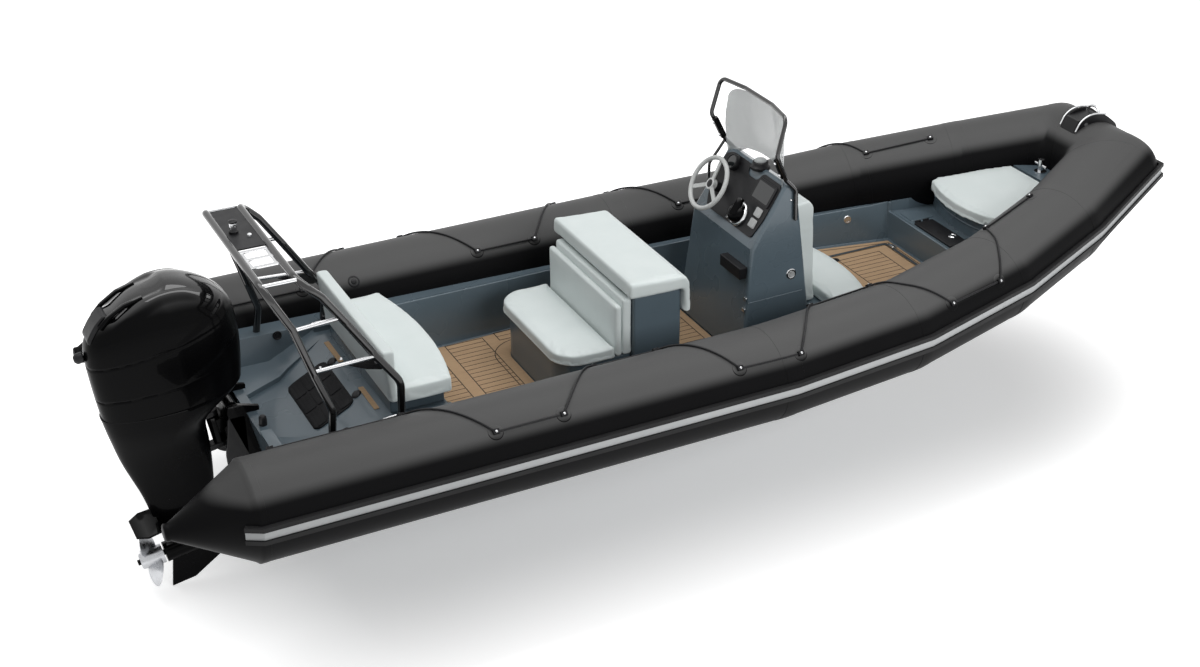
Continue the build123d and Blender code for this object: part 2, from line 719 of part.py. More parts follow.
def deck_hatch():
    """The lid in the forward floor, teak faced, hinged at its forward edge."""
    z = SOLE_FORWARD
    return block(HATCH_X, both(HATCH_HALF), (z - HATCH_THICKNESS, z + TEAK_THICKNESS))


def bow_lid():
    return block(BOW_LID_X, both(BOW_LID_HALF), (STEP_TOP, STEP_TOP + LID_THICKNESS))


# ---------------------------------------------------------------- seats


def jockey_plan(inset):
    """Plan of the aft-facing seat: round aft corners, square forward ones."""
    aft = JOCKEY_AFT + inset
    forward = HELM_BOX_X[0] - CUSHION_CLEAR
    half = JOCKEY_HALF - inset
    rounding = JOCKEY_ROUNDING
    middle = rounding * (1 - math.sqrt(0.5))
    return [
        Line((forward, -half), (forward, half)),
        Line((forward, half), (aft + rounding, half)),
        ThreePointArc((aft + rounding, half), (aft + middle, half - middle), (aft, half - rounding)),
        Line((aft, half - rounding), (aft, rounding - half)),
        ThreePointArc((aft, rounding - half), (aft + middle, middle - half), (aft + rounding, -half)),
        Line((aft + rounding, -half), (forward, -half)),
    ]


def bowed_plan(aft, front, bulge, half):
    """Plan of a cushion whose forward edge bows forward."""
    return [
        Line((aft, -half), (aft, half)),
        Line((aft, half), (front, half)),
        ThreePointArc((front, half), (front + bulge, 0), (front, -half)),
        Line((front, -half), (aft, -half)),
    ]


def raised(edges, low, high):
    return extrude(Pos(0, 0, low) * make_face(edges), amount=high - low)


def jockey_base():
    return raised(jockey_plan(JOCKEY_OVERHANG), SOLE_AFT, JOCKEY_TOP - JOCKEY_CUSHION)


def jockey_cushion():
    shape = raised(jockey_plan(0.0), JOCKEY_TOP - JOCKEY_CUSHION + CUSHION_CLEAR, JOCKEY_TOP)
    return shape - block((HELM_BACK_AFT_X[0], BEYOND), both(BEYOND), both(BEYOND))


def helm_box():
    return block(HELM_BOX_X, both(HELM_BOX_HALF), (SOLE_AFT, HELM_TOP - HELM_CUSHION))


def helm_cushion():
    """The top cushion with its flap down the forward side."""
    low = HELM_TOP - HELM_CUSHION + CUSHION_CLEAR
    aft, forward = HELM_CUSHION_X
    flap_aft = HELM_BOX_X[1] + CUSHION_CLEAR
    outline = [
        (aft, low),
        (aft, HELM_TOP),
        (forward, HELM_TOP - 12),
        (forward + 24, HELM_TOP - 60),
        (forward + 24, low - HELM_FLAP),
        (flap_aft, low - HELM_FLAP),
        (flap_aft, low),
    ]
    return side_prism(outline, -HELM_CUSHION_HALF, HELM_CUSHION_HALF)


def helm_back(x_low, x_high, top):
    base = JOCKEY_TOP - JOCKEY_CUSHION + CUSHION_CLEAR
    return block((x_low + CUSHION_CLEAR, x_high), both(HELM_BACK_HALF), (base, top))


def bench_base():
    return block(BENCH_BASE_X, both(BENCH_BASE_HALF), (SPLASH_END_Z, BENCH_BASE_TOP))


def bench_cushion(hoop):
    plan = bowed_plan(BENCH_CUSHION_AFT, BENCH_CUSHION_FRONT, BENCH_CUSHION_BULGE, BENCH_CUSHION_HALF)
    return raised(plan, BENCH_BASE_TOP + CUSHION_CLEAR, BENCH_CUSHION_TOP) - hoop


def bench_back():
    low = BENCH_BASE_TOP + CUSHION_CLEAR
    aft, forward = BENCH_BACK_X
    outline = [
        (aft + 40, low),
        (BENCH_CUSHION_AFT - CUSHION_CLEAR, low),
        (forward, BENCH_BACK_TOP),
        (aft, BENCH_BACK_TOP),
    ]
    return side_prism(outline, -BENCH_BACK_HALF, BENCH_BACK_HALF)


def front_seat_base():
    return block(FRONT_SEAT_X, both(FRONT_SEAT_HALF), (SOLE_FORWARD, FRONT_SEAT_TOP)) - console()


def front_cushion():
    plan = bowed_plan(*FRONT_CUSHION_X, FRONT_CUSHION_BULGE, FRONT_CUSHION_HALF)
    return raised(plan, FRONT_SEAT_TOP + CUSHION_CLEAR, FRONT_CUSHION_TOP)


def front_back():
    shape = side_prism(FRONT_BACK_SIDE, -FRONT_BACK_HALF, FRONT_BACK_HALF)
    return shape - console() - Pos(CUSHION_CLEAR, 0, 0) * console()


def bow_cushion(tubes):
    """The wedge-shaped cushion on the bow's deck."""
    side = BOW_CUSHION_AFT_SIDE
    corner = BOW_CUSHION_CORNER
    forward = BOW_CUSHION_FORWARD

    def other(point):
        return (point[0], -point[1])

    edges = [
        ThreePointArc(side, BOW_CUSHION_AFT_MIDDLE, other(side)),
        Line(other(side), other(corner)),
        Line(other(corner), other(forward)),
        Line(other(forward), forward),
        Line(forward, corner),
        Line(corner, side),
    ]
    (aft, low), (front, high) = BOW_DECK
    slope = (high - low) / (front - aft)
    start, end = aft - 20, forward[0] + 20
    bottom = [low + (x - aft) * slope + CUSHION_CLEAR for x in (start, end)]
    top = [z + BOW_CUSHION_THICKNESS for z in bottom]
    slab = side_prism([(start, bottom[0]), (end, bottom[1]), (end, top[1]), (start, top[0])], -BEYOND, BEYOND)
    shape = raised(edges, 0.0, BEYOND) & slab
    for tube in tubes:
        shape -= tube
    return shape


# ---------------------------------------------------------------- console


def console_width(x_span):
    """The console's front outline, wider at its foot, carried over the given span."""
    low, high = SOLE_AFT, DASH_HIGH[1]
    port = [(CONSOLE_HALF_BOTTOM, low), (CONSOLE_HALF_TOP, high)]
    return front_prism(port + [(-y, z) for y, z in reversed(port)], *x_span)


def console():
    return side_prism(CONSOLE_SIDE, -BEYOND, BEYOND) & console_width((0.0, 2 * BEYOND))


def dash_plane():
    """Plane on the dash's slope, at its middle; its own x runs to starboard and its y up the slope."""
    (x0, z0), (x1, z1) = DASH_LOW, DASH_HIGH
    along = Vector(x1 - x0, 0, z1 - z0).normalized()
    normal = Vector(-along.Z, 0, along.X)
    return Plane(origin=((x0 + x1) / 2, 0, (z0 + z1) / 2), x_dir=(0, -1, 0), z_dir=normal)


def on_dash(at):
    """A place on the dash panel's face."""
    return dash_plane() * Pos(at[0], at[1], DASH_THICKNESS)


def dash_panel():
    face = dash_plane() * make_face(Polyline(*DASH_OUTLINE, close=True))
    return extrude(face, amount=DASH_THICKNESS)


def dash_instruments():
    """The screen, the two switch plates and the gauge."""
    screen = on_dash(SCREEN_AT) * Box(*SCREEN_SIZE, align=LOW)
    switches = [on_dash(at) * Box(*SWITCH_SIZE, align=LOW) for at in SWITCHES_AT]
    gauge = on_dash(GAUGE_AT) * Cylinder(GAUGE_RADIUS, GAUGE_HEIGHT, align=LOW)
    return Compound(children=[screen, *switches, gauge])


def throttle():
    ring = on_dash(THROTTLE_AT) * Cylinder(*THROTTLE_RING, align=LOW)
    dome = on_dash(THROTTLE_AT) * Pos(0, 0, THROTTLE_RING[1]) * Cylinder(*THROTTLE_DOME, align=LOW)
    return ring + dome


def compass():
    x, y = COMPASS_AT
    body = Pos(x, y, COMPASS_TOP) * Cylinder(COMPASS_RADIUS, 60, align=HIGH)
    return body - console() - dash_panel()


def switch_box():
    return block(SWITCH_BOX_X, SWITCH_BOX_Y, SWITCH_BOX_Z) - console()


def wheel_plane():
    return dash_plane() * Pos(WHEEL_AT[0], WHEEL_AT[1], WHEEL_STAND)


def steering_wheel():
    base = wheel_plane()
    shape = base * Torus(WHEEL_RADIUS, WHEEL_RIM)
    shape += base * Pos(0, 0, -WHEEL_DISH) * Cylinder(WHEEL_HUB_RADIUS, WHEEL_HUB_LENGTH)
    for turn in (90, 210, 330):
        spoke = Pos(WHEEL_RADIUS / 2, 0, -WHEEL_DISH / 2) * Rot(0, -4, 0) * Box(WHEEL_RADIUS, 26, 9)
        shape += base * Rot(0, 0, turn) * spoke
    return shape - base * Cylinder(WHEEL_SHAFT + RUNNING_CLEAR, 4 * WHEEL_HUB_LENGTH)


def wheel_column():
    drop = WHEEL_DISH + WHEEL_HUB_LENGTH / 2 + MOVING_CLEAR
    length = WHEEL_STAND - DASH_THICKNESS - drop
    boss = Pos(0, 0, -drop) * Cylinder(30, length, align=HIGH)
    shaft = Pos(0, 0, -drop) * Cylinder(WHEEL_SHAFT, MOVING_CLEAR + WHEEL_HUB_LENGTH, align=LOW)
    return wheel_plane() * (boss + shaft)


def windscreen():
    """A sheet bowed in plan, with its upper corners cut off."""
    aft, forward = SCREEN_X
    half = SCREEN_HALF
    back = SCREEN_THICKNESS
    outer = ThreePointArc((aft, half), (forward, 0), (aft, -half))
    inner = ThreePointArc((aft - back, -half), (forward - back, 0), (aft - back, half))
    edges = [outer, Line(outer @ 1, inner @ 0), inner, Line(inner @ 1, outer @ 0)]
    column = extrude(make_face(edges), amount=BEYOND)
    port = SCREEN_OUTLINE[1:-1]
    outline = port + [(-y, z) for y, z in reversed(port)]
    return column & front_prism(outline, aft - 2 * back, forward + 2 * back)


def windscreen_frame():
    frame = bent_tube(mirrored_run(FRAME_POINTS), FRAME_TUBE, FRAME_BEND_RADIUS)
    brace = bent_tube(BRACE_POINTS, BRACE_TUBE, FRAME_BEND_RADIUS)
    return (frame + brace) - console()


def windscreen_clamps(frame, screen):
    plate = Pos(*CLAMP_AT) * Rot(0, -26, 0) * Box(*CLAMP_SIZE)
    plate -= frame
    plate -= screen
    return plate.solids().sort_by(SortBy.VOLUME)[-1]


# ---------------------------------------------------------------- roll bar


def hoop(points):
    return bent_tube(mirrored_run(points), BAR_TUBE, BAR_BEND_RADIUS) - hull_form()


def rungs(hoops):
    bars = []
    for start, end in RUNGS:
        bar = straight_bar(start, end, RUNG_RADIUS)
        for each in hoops:
            bar -= each
        bars.append(bar.solids().sort_by(SortBy.VOLUME)[-1])
    return Compound(children=[*bars, *[starboard(bar) for bar in bars]])


def bar_gussets(hoops, bars):
    y = RUNGS[1][1][1]
    plate = side_prism(GUSSET_SIDE, y - GUSSET_THICKNESS / 2, y + GUSSET_THICKNESS / 2)
    for each in (*hoops, bars):
        plate -= each
    plate = plate.solids().sort_by(SortBy.VOLUME)[-1]
    return pair(plate)


def bar_plate(hoops):
    z = RUNGS[2][0][2]
    plate = block(BAR_PLATE_X, BAR_PLATE_Y, (z, z + BAR_PLATE_THICKNESS))
    for each in hoops:
        plate -= each
    return plate.solids().sort_by(SortBy.VOLUME)[-1]


def lantern():
    x, y = LANTERN_AT
    z = RUNGS[2][0][2] + BAR_PLATE_THICKNESS
    return Pos(x, y, z) * Cylinder(LANTERN_RADIUS, LANTERN_HEIGHT, align=LOW)


# ---------------------------------------------------------------- bow fittings


def bollard():
    base = Pos(BOLLARD_X, 0, ANCHOR_DECK_TOP)
    post = base * Cylinder(40, 6, align=LOW) + base * Cylinder(BOLLARD_RADIUS, BOLLARD_HEIGHT, align=LOW)
    return post + base * Pos(0, 0, 46) * Rot(90, 0, 0) * Cylinder(8, 110)


def bow_roller(bow):
    x, _, z = TUBE_NODES[-1]
    arch = [(x - 200, z + 120), (x + 170, z + 120), (x + 185, z + 215), (x + 40, z + 312), (x - 130, z + 296)]
    return side_prism(arch, -60, 60) - bow


# ---------------------------------------------------------------- motor


def motor_frame():
    """From the upright motor's own frame to its place at rest."""
    return Location(TILT_PIVOT) * Location((0, 0, 0), (0, TRIM_DEG, 0))


def clamp_bracket():
    """Two plates bolted to the transom that carry the tilt pivot, with the hooks over its top."""
    rake = math.tan(math.radians(TRANSOM_RAKE))
    low = -40.0
    face = (TRANSOM_TOP - low) * rake
    inner = TRANSOM_INNER + 17
    x, _, z = TILT_PIVOT
    plate = [
        (face, low), (0.0, TRANSOM_TOP), (inner, TRANSOM_TOP), (inner, TRANSOM_TOP + 26),
        (x + 30, z + 28), (x - 28, z + 24), (x - 34, z - 20), (face - 60, low),
    ]
    port = side_prism(plate, *CLAMP_PLATE_Y)
    pin = Pos(*TILT_PIVOT) * Rot(90, 0, 0) * Cylinder(PIVOT_PIN, PIVOT_PIN_LENGTH)
    return port + starboard(port) + pin


def swivel_bracket():
    """Tilts on the pin, and carries the upright tube the motor steers in."""
    base = motor_frame()
    low, high = SWIVEL_TUBE_Z
    head = base * Rot(90, 0, 0) * Cylinder(*SWIVEL_HEAD)
    tube = base * Pos(STEER_X, 0, low) * Cylinder(SWIVEL_TUBE_RADIUS, high - low, align=LOW)
    web = [(STEER_X, low + 70), (STEER_X, high), (-54.0, high), (-34.0, -10.0), (-20.0, 25.0), (20.0, 25.0)]
    web += [(30.0, -20.0), (-30.0, -110.0)]
    gusset = base * side_prism(web, -SWIVEL_GUSSET_HALF, SWIVEL_GUSSET_HALF)
    pin_bore = base * Rot(90, 0, 0) * Cylinder(PIVOT_PIN + RUNNING_CLEAR, PIVOT_PIN_LENGTH)
    bore = STEER_SHAFT + RUNNING_CLEAR
    shaft_bore = base * Pos(STEER_X, 0, low - 1) * Cylinder(bore, high - low + 2, align=LOW)
    return head + tube + gusset - pin_bore - shaft_bore


def horizontal(outline, z):
    return Pos(0, 0, z) * make_face(Polyline(*outline, close=True))


def leg_level(z, aft, forward, wide, narrow):
    middle = (aft + forward) / 2
    port = [(forward, narrow), (middle, wide), (aft, narrow * 0.8)]
    return horizontal([(x, y) for x, y in port] + [(x, -y) for x, y in reversed(port)], z)


def midsection():
    """The leg, with the shaft and the two yokes that turn in the swivel bracket."""
    low, high = SWIVEL_TUBE_Z
    leg = loft([leg_level(*row) for row in LEG_LEVELS], ruled=True)
    shaft_low = low - MOVING_CLEAR - STEER_YOKE
    shaft_high = high + MOVING_CLEAR + STEER_YOKE
    shaft = Pos(STEER_X, 0, shaft_low) * Cylinder(STEER_SHAFT, shaft_high - shaft_low, align=LOW)
    for z in (shaft_low, shaft_high - STEER_YOKE):
        shaft += Pos(STEER_X, 0, z) * Cylinder(STEER_YOKE, STEER_YOKE, align=LOW)
        shaft += block((STEER_X - 90, STEER_X), both(STEER_YOKE), (z, z + STEER_YOKE))
    return motor_frame() * (leg + shaft)


def lower_unit():
    base = motor_frame()
    z = ANTI_VENTILATION_Z
    px, _, pz = PROPELLER_AT
    top = horizontal(mirrored(STRUT_PLAN), LEG_LEVELS[-1][0])
    strut = loft([top, horizontal(mirrored(STRUT_FOOT_PLAN), pz + STRUT_FOOT_RISE)], ruled=True)
    plate = plan_prism(mirrored(PLATE_PLAN), z - PLATE_THICKNESS / 2, z + PLATE_THICKNESS / 2)
    pod_aft = px + MOVING_CLEAR - 2
    pod = Pos(pod_aft, 0, pz) * Rot(0, 90, 0) * Cylinder(HOUSING_RADIUS, HOUSING_LENGTH, align=LOW)
    nose = Pos(pod_aft + HOUSING_LENGTH, 0, pz) * Rot(0, 90, 0) * Cone(HOUSING_RADIUS, NOSE_RADIUS, NOSE_LENGTH, align=LOW)
    skeg = side_prism(SKEG_SIDE, -SKEG_THICKNESS / 2, SKEG_THICKNESS / 2)
    shaft_length = PROPELLER_HUB_LENGTH + MOVING_CLEAR + 20
    shaft = Pos(pod_aft, 0, pz) * Rot(0, -90, 0) * Cylinder(PROPELLER_SHAFT, shaft_length, align=LOW)
    return base * (strut + plate + pod + nose + skeg + shaft)


def propeller():
    base = motor_frame() * Location(PROPELLER_AT)
    hub = Pos(-MOVING_CLEAR, 0, 0) * Rot(0, -90, 0) * Cone(56, 44, PROPELLER_HUB_LENGTH, align=LOW)
    shape = hub
    for turn in range(PROPELLER_BLADES):
        face = Plane.YZ * make_face(Polyline(*BLADE_OUTLINE, close=True))
        place = Pos(-MOVING_CLEAR - PROPELLER_HUB_LENGTH / 2, 0, 0) * Rot(0, 0, BLADE_PITCH)
        blade = place * extrude(face, amount=BLADE_THICKNESS / 2, both=True)
        shape += Rot(turn * 360 / PROPELLER_BLADES, 0, 0) * blade
    return base * (shape - Rot(0, 90, 0) * Cylinder(PROPELLER_SHAFT + RUNNING_CLEAR, 4 * PROPELLER_HUB_LENGTH))


def cowl_level(z, aft, forward, half, rear):
    length = forward - aft
    port = [
        (forward, half * 0.55),
        (forward - length * 0.09, half * 0.86),
        (forward - length * 0.24, half),
        (aft + length * 0.35, half),
        (aft + length * 0.08, rear),
        (aft, rear * 0.5),
    ]
    return horizontal(mirrored(port), z)


def cowl_pan():
    return motor_frame() * loft([cowl_level(*row) for row in COWL_PAN_LEVELS], ruled=True)


def cowl_top():
    top = loft([cowl_level(*row) for row in COWL_TOP_LEVELS], ruled=True)
    base = COWL_TOP_LEVELS[0][0]
    cavity = block(
        grown(ENGINE_X, ENGINE_CLEAR), grown(ENGINE_Y, ENGINE_CLEAR), (base - 1, ENGINE_TOP + ENGINE_CLEAR)
    )
    return motor_frame() * (top - cavity)


def engine_block():
    return motor_frame() * block(ENGINE_X, ENGINE_Y, (COWL_TOP_LEVELS[0][0], ENGINE_TOP))


def build():
    port, bow = collar_port(), collar_bow()
    tubes = [port, starboard(port), bow]
    clear_port = collar_port(CUSHION_CLEAR)
    clear_tubes = [clear_port, starboard(clear_port), collar_bow(CUSHION_CLEAR)]
    strake = strake_port([port, bow])
    aft_hoop, forward_hoop = hoop(AFT_HOOP), hoop(FORWARD_HOOP)
    bars = rungs([aft_hoop, forward_hoop])
    frame, screen = windscreen_frame(), windscreen()
    rope = lifeline([port])
    parts = {
        "tube_port": port,
        "tube_starboard": starboard(port),
        "tube_bow": bow,
        "strakes": pair(strake),
        "stripes": pair(stripe_port()),
        "lifelines": pair(Compound(children=rope)),
        "eyelets": pair(Compound(children=eyelets(rope, [port]))),
        "hull": hull(tubes),
        "liner": liner(tubes),
        "teak_aft": teak_aft(),
        "teak_forward": teak_forward(),
        "splash_pad": splash_pad(),
        "deck_hatch": deck_hatch(),
        "bow_lid": bow_lid(),
        "jockey_base": jockey_base(),
        "jockey_cushion": jockey_cushion(),
        "helm_box": helm_box(),
        "helm_cushion": helm_cushion(),
        "helm_back_aft": helm_back(*HELM_BACK_AFT_X, HELM_BACK_AFT_TOP),
        "helm_back_forward": helm_back(HELM_BACK_AFT_X[1], HELM_BOX_X[0] - CUSHION_CLEAR, HELM_BACK_FORWARD_TOP),
        "bench_base": bench_base(),
        "bench_cushion": bench_cushion(forward_hoop),
        "bench_back": bench_back(),
        "console": console(),
        "dash_panel": dash_panel(),
        "dash_instruments": dash_instruments(),
        "throttle": throttle(),
        "compass": compass(),
        "switch_box": switch_box(),
        "steering_wheel": steering_wheel(),
        "wheel_column": wheel_column(),
        "windscreen": screen,
        "windscreen_frame": frame,
        "windscreen_clamps": pair(windscreen_clamps(frame, screen)),
        "front_seat_base": front_seat_base(),
        "front_cushion": front_cushion(),
        "front_back": front_back(),
        "bow_cushion": bow_cushion(clear_tubes),
        "bollard": bollard(),
        "bow_roller": bow_roller(bow),
        "hoop_aft": aft_hoop,
        "hoop_forward": forward_hoop,
        "rungs": bars,
        "gussets": bar_gussets([aft_hoop, forward_hoop], bars),
        "bar_plate": bar_plate([aft_hoop, forward_hoop]),
        "lantern": lantern(),
        "clamp_bracket": clamp_bracket(),
        "swivel_bracket": swivel_bracket(),
        "midsection": midsection(),
        "lower_unit": lower_unit(),
        "propeller": propeller(),
        "cowl_pan": cowl_pan(),
        "cowl_top": cowl_top(),
        "engine_block": engine_block(),
    }
    return parts


for name, shape in build().items():
    export_step(shape, f"parts/{name}.step")
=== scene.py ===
"""A rigid-hulled inflatable boat with its outboard motor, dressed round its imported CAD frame."""
import bmesh
import bpy
import json
import math
import numpy as np
from mathutils import Matrix, Vector


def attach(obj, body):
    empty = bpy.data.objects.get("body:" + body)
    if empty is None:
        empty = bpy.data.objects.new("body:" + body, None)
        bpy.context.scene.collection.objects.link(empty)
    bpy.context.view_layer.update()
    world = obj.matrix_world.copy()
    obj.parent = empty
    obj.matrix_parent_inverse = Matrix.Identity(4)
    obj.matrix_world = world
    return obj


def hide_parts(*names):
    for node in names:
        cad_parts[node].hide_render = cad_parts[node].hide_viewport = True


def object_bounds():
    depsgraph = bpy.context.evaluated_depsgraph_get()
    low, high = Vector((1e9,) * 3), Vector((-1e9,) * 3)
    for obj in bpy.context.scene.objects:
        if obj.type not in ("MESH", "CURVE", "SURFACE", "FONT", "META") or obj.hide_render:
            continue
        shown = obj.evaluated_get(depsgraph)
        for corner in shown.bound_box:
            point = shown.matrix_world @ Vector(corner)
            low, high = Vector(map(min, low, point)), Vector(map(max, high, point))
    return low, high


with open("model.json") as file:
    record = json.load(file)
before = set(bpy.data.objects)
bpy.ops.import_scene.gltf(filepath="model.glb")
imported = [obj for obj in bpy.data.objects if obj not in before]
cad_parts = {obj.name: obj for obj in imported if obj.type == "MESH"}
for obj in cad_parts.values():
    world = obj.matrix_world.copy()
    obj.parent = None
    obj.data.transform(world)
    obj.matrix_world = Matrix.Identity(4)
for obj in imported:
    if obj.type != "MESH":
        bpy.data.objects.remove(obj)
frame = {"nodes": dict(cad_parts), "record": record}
CAD_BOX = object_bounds()
NODES = frame["nodes"]
BODIES = frame["record"]["behaviour"]["bodies"]
MM = 0.001
UP = (0, 0, 1)


# ------------ colour and nodes


def linear(code):
    """An sRGB hex colour as linear light: c / 12.92 where dark, else ((c + 0.055) / 1.055) ** 2.4."""
    c = np.array([int(code[i:i + 2], 16) for i in (1, 3, 5)]) / 255
    c = np.where(c <= 0.04045, c / 12.92, ((c + 0.055) / 1.055) ** 2.4)
    return (*c.tolist(), 1.0)


def add(tree, kind, inputs, out=0, **settings):
    """One node's output: settings are its own properties, and each input is a plain value or another's
    output."""
    node = tree.nodes.new("ShaderNode" + kind)
    for key, value in settings.items():
        setattr(node, key, value)
    for key, value in inputs.items():
        feed(node, key, value)
    return node.outputs[out]


def feed(node, key, value):
    """A plain value or another node's output into one input."""
    if isinstance(value, bpy.types.NodeSocket):
        node.id_data.links.new(value, node.inputs[key])
    else:
        node.inputs[key].default_value = value


def blend(tree, part, first, second, **settings):
    """Two colours mixed by a part."""
    return add(tree, "Mix", {0: part, 6: first, 7: second}, 2, data_type="RGBA", **settings)


def ranged(tree, value, low, high, to_low=0.0, to_high=1.0, **settings):
    """A value carried from one range to another and held at its ends."""
    return add(tree, "MapRange", {"Value": value, "From Min": low, "From Max": high, "To Min": to_low,
                                  "To Max": to_high}, **settings)


def relief(tree, shader, height, depth, strength, **under):
    """A bump of a depth in metres on the shader, over another bump if there is one."""
    dents = add(tree, "Bump", {"Height": height, "Distance": depth, "Strength": strength, **under})
    feed(shader, "Normal", dents)
    return dents


def paint(name, **sockets):
    """A new material, its tree and its shader, with the values that are the same all over set on the
    shader."""
    made = bpy.data.materials.new(name)
    made.use_nodes = True
    shader = made.node_tree.nodes["Principled BSDF"]
    for key, value in sockets.items():
        shader.inputs[key.replace("_", " ")].default_value = value
    return made, made.node_tree, shader


def mottle(tree, shader, dark, light, patch, rough, grain, depth):
    """Two tones in soft patches, roughness over its range with them, and a fine grain. Patch, grain and depth
    are in metres. Returns the object coordinates, the grain's bump and the tone."""
    place = add(tree, "TexCoord", {}, "Object")
    patches = add(tree, "TexNoise", {"Vector": place, "Scale": 1 / patch, "Detail": 3.0, "Roughness": 0.6})
    tone = blend(tree, patches, linear(dark), linear(light))
    feed(shader, "Base Color", tone)
    feed(shader, "Roughness", ranged(tree, patches, 0.3, 0.7, *rough))
    pits = add(tree, "TexNoise", {"Vector": place, "Scale": 1 / grain, "Detail": 2.0})
    return place, relief(tree, shader, pits, depth, 0.6), tone


def waves(tree, place, pitch, axes, operation, **inputs):
    """Two sets of waves of a pitch in metres, crossed. A wave texture of scale 0.314 has one wave a metre."""
    pair = [add(tree, "TexWave", {"Vector": place, "Scale": 0.314 / pitch, **inputs}, "Fac",
                bands_direction=axis)
            for axis in axes]
    return add(tree, "Math", {0: pair[0], 1: pair[1]}, operation=operation)


def upward(tree, low, high):
    """0 to 1 as the surface turns up: an attribute of the mesh, its normal's height, between two values."""
    height = add(tree, "Attribute", {}, "Fac", attribute_name="upward")
    return ranged(tree, height, low, high, interpolation_type="SMOOTHSTEP")


# ------------ materials


def coated_fabric():
    """Tube fabric: polyester cloth calendered with PVC, a close black satin, with a painted highlight of light
    grey on its upper side. Its threads are 0.7 mm apart, too fine to show here, so the weave is drawn every 5
    mm."""
    made, tree, shader = paint("pvc_coated_tube_fabric", Specular_IOR_Level=0.05)
    place, dents, tone = mottle(tree, shader, "#0c0c0d", "#111112", 0.35, (0.38, 0.46), 0.003, 0.00008)
    # Painted highlight: the colour turns light grey where the surface faces up, in place of the overhead
    # light's reflection.
    feed(shader, "Base Color", blend(tree, upward(tree, 0.5, 0.74), tone, linear("#575757")))
    weave = waves(tree, place, 0.005, "XZ", "MULTIPLY", Distortion=0.3)
    relief(tree, shader, weave, 0.00006, 0.35, Normal=dents)
    return made


def teak_foam():
    """Deck covering: EVA foam sheet brushed and routed to look like teak planks with dark caulking."""
    made, tree, shader = paint("brushed_eva_teak")
    place, _, tone = mottle(tree, shader, "#a18465", "#b59877", 0.09, (0.68, 0.8), 0.0025, 0.0002)
    grain = add(tree, "Mapping", {"Vector": place, "Scale": (8.0, 260.0, 1.0)})
    fibre = add(tree, "TexNoise", {"Vector": grain, "Scale": 1.0, "Detail": 4.0})
    feed(shader, "Base Color", blend(tree, 0.28, tone, fibre, blend_type="OVERLAY"))
    return made


def grip_foam():
    """Step pad: black EVA foam, moulded in small square studs so that a wet foot holds."""
    made, tree, shader = paint("studded_eva_pad", Specular_IOR_Level=0.2)
    place, dents, _ = mottle(tree, shader, "#0d0d0f", "#141416", 0.08, (0.6, 0.75), 0.002, 0.0002)
    relief(tree, shader, waves(tree, place, 0.02, "XY", "MINIMUM"), 0.001, 1.0, Normal=dents)
    return made


def marine_vinyl():
    """Cushions: pale grey marine vinyl with a soft satin sheen. Its embossed grain is about 1.5 mm, drawn at
    6 mm so that it shows."""
    made, tree, shader = paint("pale_marine_vinyl", Sheen_Weight=0.12, Sheen_Roughness=0.5)
    place, dents, _ = mottle(tree, shader, "#ccd5d4", "#d9e0df", 0.18, (0.42, 0.54), 0.004, 0.0001)
    cells = add(tree, "TexVoronoi", {"Vector": place, "Scale": 1 / 0.006}, feature="DISTANCE_TO_EDGE")
    relief(tree, shader, cells, 0.00025, 0.5, Normal=dents)
    return made


def motor_lacquer():
    """Motor cowl and leg: black acrylic lacquer, with a clear coat laid thick on the upper faces and thin
    below."""
    made, tree, shader = paint("black_motor_lacquer", Specular_IOR_Level=0.03, Coat_Roughness=0.04,
                               Coat_IOR=1.6)
    mottle(tree, shader, "#050506", "#080809", 0.3, (0.26, 0.34), 0.01, 0.00003)
    feed(shader, "Coat Weight", ranged(tree, upward(tree, 0.45, 0.85), 0.0, 1.0, 0.04, 1.0))
    return made


def plain(name, dark, light, patch, rough, grain, depth, **sockets):
    """A finish of two mottled tones with an even grain, and what else is the same all over."""
    made, tree, shader = paint(name, **sockets)
    mottle(tree, shader, dark, light, patch, rough, grain, depth)
    return made


FABRIC, TEAK, GRIP, VINYL, LACQUER = coated_fabric(), teak_foam(), grip_foam(), marine_vinyl(), motor_lacquer()
# Rubbing strake: extruded EPDM rubber, dull.
STRAKE = plain("extruded_epdm_rubber", "#101011", "#19191a", 0.12, (0.45, 0.6), 0.002, 0.0001,
               Specular_IOR_Level=0.2)
# Stripe: a light grey PVC insert pressed into the strake.
STRIPE = plain("pvc_stripe", "#a0a3a4", "#b4b6b7", 0.2, (0.35, 0.48), 0.002, 0.00006)
# Mouldings: blue-grey polyester gelcoat over glass fibre, polished, with a slight orange peel under its
# gloss.
GELCOAT = plain("blue_grey_gelcoat", "#525f67", "#5b6972", 0.5, (0.24, 0.34), 0.006, 0.00008, Coat_Weight=0.2,
                Coat_Roughness=0.08)
# Caulking between the planks: matt dark brown foam, a little rough.
CAULK = plain("dark_brown_caulking", "#332920", "#43372c", 0.05, (0.75, 0.85), 0.002, 0.0001)
# Hatch gasket: dark slate silicone, moulded, with a soft bloom.
GASKET = plain("slate_silicone_gasket", "#2e3539", "#3a4247", 0.06, (0.45, 0.6), 0.002, 0.0001)
# Display: hardened glass over a dark panel, very smooth, with a blue-grey cast.
GLASS = plain("dark_display_glass", "#0e1214", "#13181a", 0.08, (0.04, 0.08), 0.01, 0.00001, Coat_Weight=0.5,
              Coat_Roughness=0.02)
# Switch rockers: light grey moulded nylon with a fine matt spark finish.
SWITCH = plain("light_grey_nylon", "#aaacac", "#bfc1c1", 0.02, (0.45, 0.6), 0.0015, 0.0002)
# Fittings: black ABS, injection moulded, with a fine spark-eroded texture.
ABS = plain("moulded_black_abs", "#131315", "#1a1a1c", 0.06, (0.34, 0.46), 0.0015, 0.00006,
            Specular_IOR_Level=0.25)
